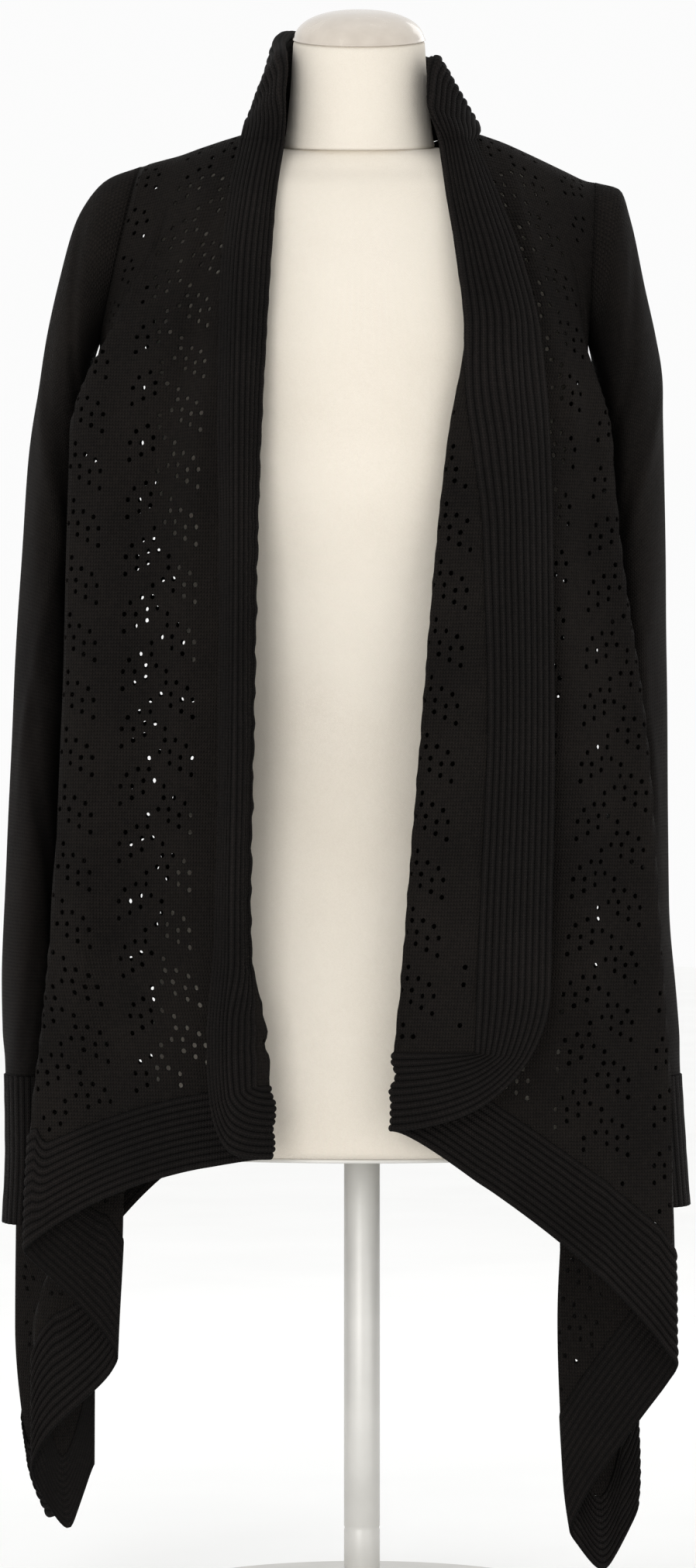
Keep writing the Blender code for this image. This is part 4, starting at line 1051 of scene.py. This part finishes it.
def lapelRails(panel, power, settings):
    # The inner rail follows the seam down and then along the lapel's foot to the fold. The
    # outer one follows the free edge and then a quarter of a superellipse:
    # cos^(2/power) across and sin^(2/power) down.
    fold = panel.knots[2]
    foot = float(panel.hemHeight(fold))
    seam = float(panel.seamHeight(np.array([fold]))[0])
    cornerZ = armholeBottom + (seam - armholeBottom) * 0.91
    levels = rowLevels(panel, fold * 0.4, cornerZ, settings["step"])
    levels[-1] = cornerZ
    inner = [np.column_stack([panel.bandSeam(levels), levels])]
    outer = [np.column_stack([0 * levels, levels])]
    q = np.arange(1, settings["cornerRows"][0] + 1) / settings["cornerRows"][0]
    z = cornerZ + (seam - cornerZ) * q
    sine = q * math.sin(cornerFirst) ** (2 / power)
    angle = np.arcsin(sine ** (power / 2))
    inner.append(np.column_stack([panel.bandSeam(z), z]))
    outer.append(np.column_stack([fold * (1 - np.cos(angle) ** (2 / power)),
                                  foot + (cornerZ - foot) * (1 - sine)]))
    q = np.arange(1, settings["cornerRows"][1] + 1) / settings["cornerRows"][1]
    start = float(panel.bandSeam(np.array([seam]))[0])
    cosine = (1 - q) * math.cos(cornerFirst) ** (2 / power)
    angle = np.arccos(cosine ** (power / 2))
    inner.append(np.column_stack([start + (fold - start) * q, seam + 0 * q]))
    outer.append(np.column_stack([fold * (1 - cosine),
                                  foot + (cornerZ - foot) * (1 - np.sin(angle) ** (2 / power))]))
    return np.concatenate(inner), np.concatenate(outer)


for name, panel, power in (("left", leftFront, 2.0), ("right", rightFront, 3.0)):
    inner, outer = lapelRails(panel, power, bandSettings)
    made = ribbedStrip("rib_band_" + name, panel.cloth, inner, outer, -1, bandSettings,
                       ["band_" + name], bandWidth)

hemSettings = {
    "step": 3.0, "thick": 1.6, "uneven": 0.12, "ribColumns": 6,
    "flat": {"left": (0.44, 0.062, 0.0225), "right": (0.50, 0.062, 0.0256),
             "back": (0.60, 0.062, 0.0314)},
}


def buildHem(name, panel, start, end, settings):
    # The hem hangs between the panel's seam and its lower edge, at even steps along it.
    places = np.linspace(start, end, 700)
    run = runAlong(panel.point(places, panel.hemHeight(places)))
    places = np.interp(evenRun(run, settings["step"]), run, places)
    top = np.column_stack([places, panel.seamHeight(places)])
    low = np.column_stack([places, panel.hemHeight(places)])
    made = ribbedStrip("rib_hem_" + name, panel.cloth, top, low, 1, settings, ["hem_" + name],
                       bandWidth)


for name, panel, first in (("left", leftFront, 2), ("right", rightFront, 2), ("back", back, 1)):
    buildHem(name, panel, panel.knots[first], panel.knots[-2], hemSettings)

collarSettings = {
    "rows": 200, "thick": 1.6, "uneven": 0.12, "ribColumns": 6, "standThick": 1.4,
    "standDrop": 0.6, "standLength": 380, "standHeight": 45, "standGrid": (150, 14),
    "creaseFade": 0.35,
    "flat": {"fall": (0.40, 0.062, 0.022), "stand": (0.40, 0.075, 0.0165)},
    "creases": ((0.30, 0.55, 8, 0.9, 0.035, -1.0), (0.42, 0.5, -6, 0.9, 0.03, 0.8),
                (0.66, 0.5, 5, 0.9, 0.035, -0.9), (0.76, 0.6, -8, 0.8, 0.03, 0.9)),
}


def fromEnds(t):
    # 0 at the collar's two ends and 1 past collarEnd from them, eased between.
    return smoothStep(np.minimum(t, 1 - t) / collarEnd)


def forwardCurve(fold, edge, share, side):
    # A cubic from the fold to the edge: fold r³ + 3 first r² s + 3 second r s² + edge s³,
    # where r = 1 - s, and first and second lie forward of the fold and of the edge.
    first = fold + np.concatenate([side * 3.0, side * 0 - 7.0, side * 0], axis=-1)
    second = edge + np.concatenate([side * -5.0, side * 0 - 10.0, side * 0], axis=-1)
    rest = 1 - share
    return (fold * rest ** 3 + first * 3 * rest ** 2 * share
            + second * 3 * rest * share ** 2 + edge * share ** 3)


def collarPath(t, down, second):
    # The fold's line and another line of the table at t round the neck.
    rows = np.array(collar, float)
    t, down = np.broadcast_arrays(np.asarray(t, float), np.asarray(down, float))
    path = pchip(rows[:, 0], rows[:, 1:], t.ravel())
    fold = path[:, 0:3].reshape(t.shape + (3,))
    other = path[:, 3 * second:3 * second + 3].reshape(t.shape + (3,))
    return fold, other, down[..., None]


def lapelTop(t, down, side):
    # How far the lapel's top row lies from the fall's forward curve at its front ends, held
    # there and faded to nothing over collarEnd of the way round.
    total = np.zeros(t.shape + (3,))
    for panel, where, end in ((leftFront, 0, 1), (rightFront, -1, -1)):
        row = np.array(collar[where], float)
        curve = forwardCurve(row[1:4], row[4:7], down[..., None], np.array([float(end)]))
        gap = panel.point(panel.knots[2] * (1 - down), yokeTop) - curve
        near = t if end > 0 else 1 - t
        held = (1 - smoothStep(near / collarEnd)) * (side[..., 0] == end)
        total += gap * held[..., None]
    return total


def fallPoint(t, down):
    # The fall rises from the stand, rolls over in an arc and hangs straight to its edge.
    # The arc starts square to the fold and as nearly in line with the stand as that lets
    # it. At the fronts the fall becomes a forward curve, the top of the lapel's.
    t, down = np.broadcast_arrays(np.asarray(t, float), np.asarray(down, float))
    fold, edge, share = collarPath(t, down, 1)
    neck = collarPath(t, down, 2)[1]
    line = unit(fold - neck)
    path = unit(collarPath(np.minimum(t + 0.02, 1), down, 1)[0]
                - collarPath(np.maximum(t - 0.02, 0), down, 1)[0])
    rise = unit(line - path * np.sum(line * path, axis=-1, keepdims=True))
    reach = np.sum((edge - fold) * rise, axis=-1, keepdims=True)
    out = unit(edge - fold - rise * reach)
    wide = np.sum((edge - fold) * out, axis=-1, keepdims=True) - rollRadius
    far = np.sqrt(wide ** 2 + reach ** 2)
    turn = math.pi - np.arctan2(reach, wide) - np.arccos(rollRadius / far)
    straight = np.sqrt(far ** 2 - rollRadius ** 2)
    travel = share * (rollRadius * turn + straight)
    angle = np.clip(travel / rollRadius, None, turn)
    onward = np.maximum(travel - rollRadius * turn, 0.0)
    rolled = (fold + out * (rollRadius * (1 - np.cos(angle)) + onward * np.sin(angle))
              + rise * (rollRadius * np.sin(angle) + onward * np.cos(angle)))
    side = np.sign(fold[..., :1])
    forward = forwardCurve(fold, edge, share, side) + lapelTop(t, down, side)
    return forward + (rolled - forward) * fromEnds(t)[..., None]


def standPoint(t, down):
    # The stand rises straight from the neck seam to just under the fold: top + (neck -
    # top) * down.
    fold, neck, share = collarPath(t, down, 2)
    top = fold + unit(neck - fold) * collarSettings["standDrop"]
    return top + (neck - top) * share


def surfaceNormal(point, t, down):
    # Square to both ways of a surface: the cross product of their differences.
    along = point(np.minimum(t + 0.01, 1), down) - point(np.maximum(t - 0.01, 0), down)
    drop = point(t, down + 0.02) - point(t, down - 0.02)
    return -unit(np.cross(along, drop))


def fallCloth(t, down):
    # The fall, moved along its normal by its creases, which fade to its ends and its fold.
    normal = surfaceNormal(fallPoint, t, down)
    soft = fromEnds(t) * smoothStep(down / collarSettings["creaseFade"])
    lift = creases(t, down, collarSettings["creases"]) * soft
    return fallPoint(t, down) + normal * lift[..., None], normal


def buildCollar(settings):
    # The ribbed fall and the plain stand under it.
    t = np.linspace(0.0, 1.0, settings["rows"] + 1)
    top = np.column_stack([t, np.zeros_like(t)])
    low = np.column_stack([t, np.ones_like(t)])
    made = ribbedStrip("rib_collar", fallCloth, top, low, 1, settings, ["band_neck"],
                       bandWidth)
    t = np.linspace(0.0, 1.0, settings["standGrid"][0])[:, None]
    down = np.linspace(0.0, 1.0, settings["standGrid"][1])[None, :]
    middle = standPoint(t, down)
    normal = surfaceNormal(standPoint, t + 0 * down, down + 0 * t)
    uv = np.stack([t * settings["standLength"] + 0 * down,
                   down * settings["standHeight"] + 0 * t], axis=-1)
    made = wallPiece("collar_inside", middle, normal, uv, laceKnit,
                     ["collar_stand"], settings["standThick"])


buildCollar(collarSettings)

sleeveSettings = {
    "sides": 72, "row": 3.2, "thick": 1.4, "armholeShift": 0.4, "shiftFade": 10.0,
    "fades": (45.0, 30.0),
    "flat": {"left": (0.25, 0.66, 0.0966), "right": (0.25, 0.66, 0.0962)},
    "creases": {
        "left": ((55, 90, 40, 130, 9, -2.0), (30, 150, 35, 150, 10, 1.8),
                 (70, 210, 12, 200, 8, -1.8), (40, 330, -10, 200, 8, 1.7),
                 (62, 420, 14, 180, 8, -1.8), (85, 300, 55, 110, 8, 1.4),
                 (150, 120, -30, 150, 10, -1.8), (160, 300, 10, 220, 10, 1.7),
                 (140, 450, -14, 200, 9, -1.7), (185, 520, 8, 180, 9, 1.5),
                 (50, 560, -8, 140, 8, -1.4), (100, 500, 6, 180, 8, 1.4)),
        "right": ((60, 80, 42, 130, 9, -2.0), (35, 150, 30, 160, 10, 1.8),
                  (75, 200, 16, 200, 9, -1.9), (45, 300, -12, 220, 8, 1.7),
                  (65, 400, 16, 200, 8, -1.8), (90, 330, 60, 100, 8, 1.3),
                  (148, 130, -28, 150, 10, -1.8), (165, 310, 12, 220, 10, 1.7),
                  (135, 440, -12, 200, 9, -1.7), (190, 520, 10, 180, 9, 1.5),
                  (55, 540, -10, 150, 8, -1.4), (104, 480, 5, 200, 8, 1.4)),
    },
}
cuffSettings = {
    "row": 3.0, "thick": 1.6, "uneven": 0.12, "ribColumns": 6, "rise": 1.05,
    "flat": {"left": (0.22, 0.104, 0.021), "right": (0.22, 0.110, 0.0215)},
}


def sleeveRings(rings, side, sides, offset):
    # Each ring is an ellipse whose long way goes from its outer to its inner point:
    # centre + half * (1 + offset/length) * cos - (depth + offset) * sin in Y.
    angle = np.arange(sides + 1) / sides * 2 * math.pi
    zero = 0 * rings[:, 0]
    top = np.stack([side * rings[:, 0], zero, rings[:, 1]], axis=-1)
    low = np.stack([side * rings[:, 2], zero, rings[:, 3]], axis=-1)
    centre, half = (top + low) / 2, (top - low) / 2
    length = np.linalg.norm(half, axis=-1)[:, None]
    depth = rings[:, 4:5] + offset
    point = centre[:, None] + half[:, None] * ((1 + offset / length) * np.cos(angle))[..., None]
    return point + (-depth * np.sin(angle))[..., None] * np.array([0.0, 1.0, 0.0])


def tubeGrid(table, side, sides, step):
    # Rings at even steps along the tube, their outward directions, and UVs.
    fine = pchip(np.arange(len(table)), table, np.linspace(0, len(table) - 1, 400))
    run = runAlong((fine[:, 0:2] + fine[:, 2:4]) / 2)
    where = evenRun(run, step)
    rings = np.stack([np.interp(where, run, fine[:, k]) for k in range(5)], axis=-1)
    middle = sleeveRings(rings, side, sides, 0.0)
    normal = unit(sleeveRings(rings, side, sides, 1.0) - middle)
    around = np.linspace(0, sleeveGirth, sides + 1)[None, :] + 0 * where[:, None]
    down = where[:, None] + 0 * around
    return middle, normal, np.stack([around, -down], axis=-1), rings


def buildSleeve(name, side, table, cuffTable, settings, cuffOf):
    # A plain tube with a ribbed one under it, both open at their ends. The tube's creases
    # and its wave of three rounds, depth * cos(3 turns), fade to nothing at its ends.
    middle, normal, uv, rings = tubeGrid(table, side, settings["sides"], settings["row"])
    down, around = -uv[..., 1], uv[..., 0]
    length = down.max()
    above, below = settings["fades"]
    ends = smoothStep(down / above) * smoothStep((length - down) / below)
    folds = sum(creases(around + turn * sleeveGirth, down, settings["creases"][name])
                for turn in (-1, 0, 1))
    phase = 0.7 + 0.6 * ripple(down, side + 2.0, 190.0)
    wave = np.cos(3 * around / sleeveGirth * 2 * math.pi + phase)
    lift = sleeveCreaseScale * folds + sleeveWave * rings[:, 4:5] * wave
    middle = middle + normal * (lift * ends)[..., None]
    middle[..., 0] += side * settings["armholeShift"] * np.exp(-down / settings["shiftFade"])
    made = wallPiece("sleeve_knit_" + name, middle, normal, uv, laceKnit,
                     ["sleeve_" + name], settings["thick"], closed=True)
    sides = cuffRibs * cuffOf["ribColumns"]
    middle, normal, uv, rings = tubeGrid(cuffTable, side, sides, cuffOf["row"])
    cross = np.linspace(0, cuffRibs / bandRibs, sides + 1)
    uv[..., 0] = cross[None, :] * bandWidth
    raised = ribRise(cross[None, :], -uv[..., 1], cuffOf, cuffOf["rise"])
    raised[:, -1] = raised[:, 0]
    made = wallPiece("cuff_rib_" + name, middle, normal, uv, ribKnit,
                     ["cuff_" + name], cuffOf["thick"], raised, closed=True)


for name, side, table, cuffTable in (("left", 1, leftSleeve, leftCuff),
                                     ("right", -1, rightSleeve, rightCuff)):
    buildSleeve(name, side, table, cuffTable, sleeveSettings, cuffSettings)

formSettings = {"sides": 120, "rows": 150, "neckRows": 40, "capRows": 30, "neckDip": 0.14}


def formRing(z, halfWidth, front, rear, sides, centreX=0.0):
    # Half an ellipse in front and half behind, for arrays of heights and sizes.
    angle = np.arange(sides + 1) / sides * 2 * math.pi
    depth = np.where(np.sin(angle) > 0, rear[:, None], front[:, None])
    return np.stack([centreX + halfWidth[:, None] * np.cos(angle), depth * np.sin(angle),
                     z[:, None] + 0 * angle], axis=-1)


def turned(name, rings, finish, nodes, around=400.0):
    # A closed body of stacked rings with flat ends.
    rows, columns = rings.shape[:2]
    number = np.arange(rows * columns).reshape(rows, columns)
    quads = cells(number).reshape(-1, 4)
    ends = [number[0, :-1][None, ::-1], number[-1, :-1][None, :]]
    rise = np.linalg.norm(np.diff(rings, axis=0), axis=-1).mean(axis=1)
    down = np.concatenate([[0.0], np.cumsum(rise)])[:, None]
    share = np.linspace(0, around, columns)[None, :]
    uv = np.stack([share + 0 * down, down + 0 * share], axis=-1)
    return makeMesh(name, rings.reshape(-1, 3), [quads] + ends, uv.reshape(-1, 2), finish,
                    nodes)


def buildForm(settings):
    # The torso is a smooth curve through its rings; the neck is a drum whose top tilts
    # forward, under a domed cap: radius * cos^0.8 and height * sin of the same angle.
    rows = np.array(form, float)
    z = np.linspace(rows[0, 0], rows[-1, 0], settings["rows"])
    size = pchip(rows[:, 0], rows[:, 1:], z)
    turn = np.clip((rows[-1, 0] - z) / 1.5, 0, 1)
    size = size - (1 - np.sqrt(1 - (1 - turn[:, None]) ** 2)) * 0.9
    rings = formRing(z, size[:, 0], size[:, 1], size[:, 2], settings["sides"])
    dip = smoothStep((z - 985.0) / (rows[-1, 0] - 985.0))[:, None] * settings["neckDip"]
    rings[..., 2] += rings[..., 1] * dip
    turned("form_body_linen", rings, linen, ["form_torso"], 840.0)
    tilt = math.tan(math.radians(neckTilt))
    z = np.linspace(form[-1][0] + 0.2, neckTop, settings["neckRows"])
    share = (z - z[0]) / (z[-1] - z[0])
    tuck = np.exp(-(z - z[0]) / 0.5) * 0.7 + np.exp(-(z[-1] - z) / 0.8) * 1.2
    radius = curveAt(neck, z) - tuck
    rings = formRing(z, radius, radius, radius + 2, settings["sides"], neckX)
    lean = settings["neckDip"] + (tilt - settings["neckDip"]) * smoothStep(share)
    rings[..., 2] += rings[..., 1] * lean[:, None]
    turned("form_neck_linen", rings, linen, ["form_neck"], 330.0)
    angle = np.linspace(0, 1, settings["capRows"]) ** 1.2 * math.radians(88.5)
    radius = capRadius * np.cos(angle) ** 0.8 + 0.9 * np.exp(-(angle / 0.05) ** 2)
    rings = formRing(neckTop + 0.3 + capHeight * np.sin(angle), radius, radius, radius,
                     settings["sides"], neckX)
    rings[..., 2] += rings[..., 1] * tilt
    turned("neck_cap_dome", rings, capFinish, ["neck_cap"], 290.0)
    low = form[0][0] - 0.3
    edge = np.array([0.0, 0.6, plateThick - 0.6, plateThick])
    inset = np.array([0.8, 0.0, 0.0, 0.8])
    turned("form_plate_rim", formRing(low - plateThick + edge, plateHalfWidth - inset,
                                      plateHalfDepth - inset, plateHalfDepth - inset,
                                      settings["sides"]),
           metal, ["form_plate"], 730.0)
    poleTop = low - plateThick - 0.3
    z = np.array([footThick + 4.3, footThick + 5.0, footThick + 40, footThick + 41.5,
                  footThick + 43, poleTop - 0.7, poleTop])
    radius = poleRadius + np.array([-0.6, 0.0, 0.0, -0.5, 0.0, 0.0, -0.6])
    turned("stand_pole", formRing(z, radius, radius, radius, 64), metal,
           ["pole"], 80.0)
    profile = np.array([(0, 138.5), (1.2, 140), (6.0, 140), (9.0, 138.9), (10.9, 136.8),
                        (11.8, 134.4), (12.2, 131), (12.9, 80), (13.5, 40), (15.0, 27),
                        (15.7, 25), (16.0, 23.6)])
    turned("stand_foot", formRing(profile[:, 0], profile[:, 1], profile[:, 1], profile[:, 1],
                                  128), metal, ["foot"], 880.0)


buildForm(formSettings)

studioSettings = {"radius": 14.0, "middle": 0.02, "rings": 12, "sides": 64, "under": 0.0005}


def buildStudio(settings):
    # A pale round floor: rings at even steps, each point radius * (cos, sin).
    angle = np.arange(settings["sides"] + 1) / settings["sides"] * 2 * math.pi
    radius = np.linspace(settings["middle"], settings["radius"], settings["rings"])[:, None]
    points = np.stack([radius * np.cos(angle), radius * np.sin(angle),
                       0 * radius * angle - settings["under"]], axis=-1)
    rows, columns = points.shape[:2]
    number = np.arange(rows * columns).reshape(rows, columns)
    quads = np.stack([number[:-1, :-1], number[1:, :-1], number[1:, 1:], number[:-1, 1:]],
                     axis=-1).reshape(-1, 4)
    mesh = bpy.data.meshes.new("studio_floor")
    mesh.from_pydata(points.reshape(-1, 3).tolist(), [],
                     quads.tolist() + [number[0, :-1].tolist()])
    mesh.materials.append(paleMaterial())
    made = bpy.data.objects.new("studio_floor", mesh)
    bpy.context.scene.collection.objects.link(made)


lights = (
    # name, place, aim, width, height, watts
    ("key", (-1.1, -3.2, 1.0), (0.0, 0.0, 0.45), 1.4, 1.4, 34),
    ("fill", (2.0, -2.6, 0.7), (0.0, 0.0, 0.5), 1.6, 1.6, 9),
    ("top", (0.0, 0.3, 2.9), (0.0, 0.0, 0.8), 1.2, 1.0, 1),
    ("rim", (1.2, 1.9, 1.9), (0.0, 0.0, 0.7), 1.0, 1.4, 6),
)


def addLight(name, place, aim, width, height, watts):
    # A rectangular lamp at its place, turned to face its aim.
    lamp = bpy.data.lights.new(name, "AREA")
    lamp.shape = "RECTANGLE"
    lamp.size = width
    lamp.size_y = height
    lamp.energy = watts
    made = bpy.data.objects.new(name, lamp)
    made.location = place
    toward = np.array(aim) - np.array(place)
    made.rotation_euler = mathutils.Vector(toward).to_track_quat("-Z", "Y").to_euler()
    bpy.context.scene.collection.objects.link(made)


buildStudio(studioSettings)
for light in lights:
    addLight(*light)
world = bpy.context.scene.world or bpy.data.worlds.new("studio")
bpy.context.scene.world = world
world.use_nodes = True
setInputs(world.node_tree, world.node_tree.nodes["Background"],
          {"Color": (1.0, 1.0, 1.0, 1.0), "Strength": 0.97})
bpy.context.scene.view_settings.view_transform = "Standard"

# A level camera: focal length = sensor height * distance / height seen at the form.
cameraSettings = {"x": -0.0097, "height": 0.5715, "distance": 4.0, "seen": 1.093,
                  "sensor": 36.0}
lens = bpy.data.cameras.new("camera")
lens.sensor_fit = "VERTICAL"
lens.sensor_height = cameraSettings["sensor"]
lens.lens = cameraSettings["sensor"] * cameraSettings["distance"] / cameraSettings["seen"]
lens.clip_end = 60.0
camera = bpy.data.objects.new("camera", lens)
camera.location = (cameraSettings["x"], -cameraSettings["distance"], cameraSettings["height"])
camera.rotation_euler = (math.pi / 2, 0.0, 0.0)
bpy.context.scene.collection.objects.link(camera)
bpy.context.scene.camera = camera
print("camera and lights are set", flush=True)
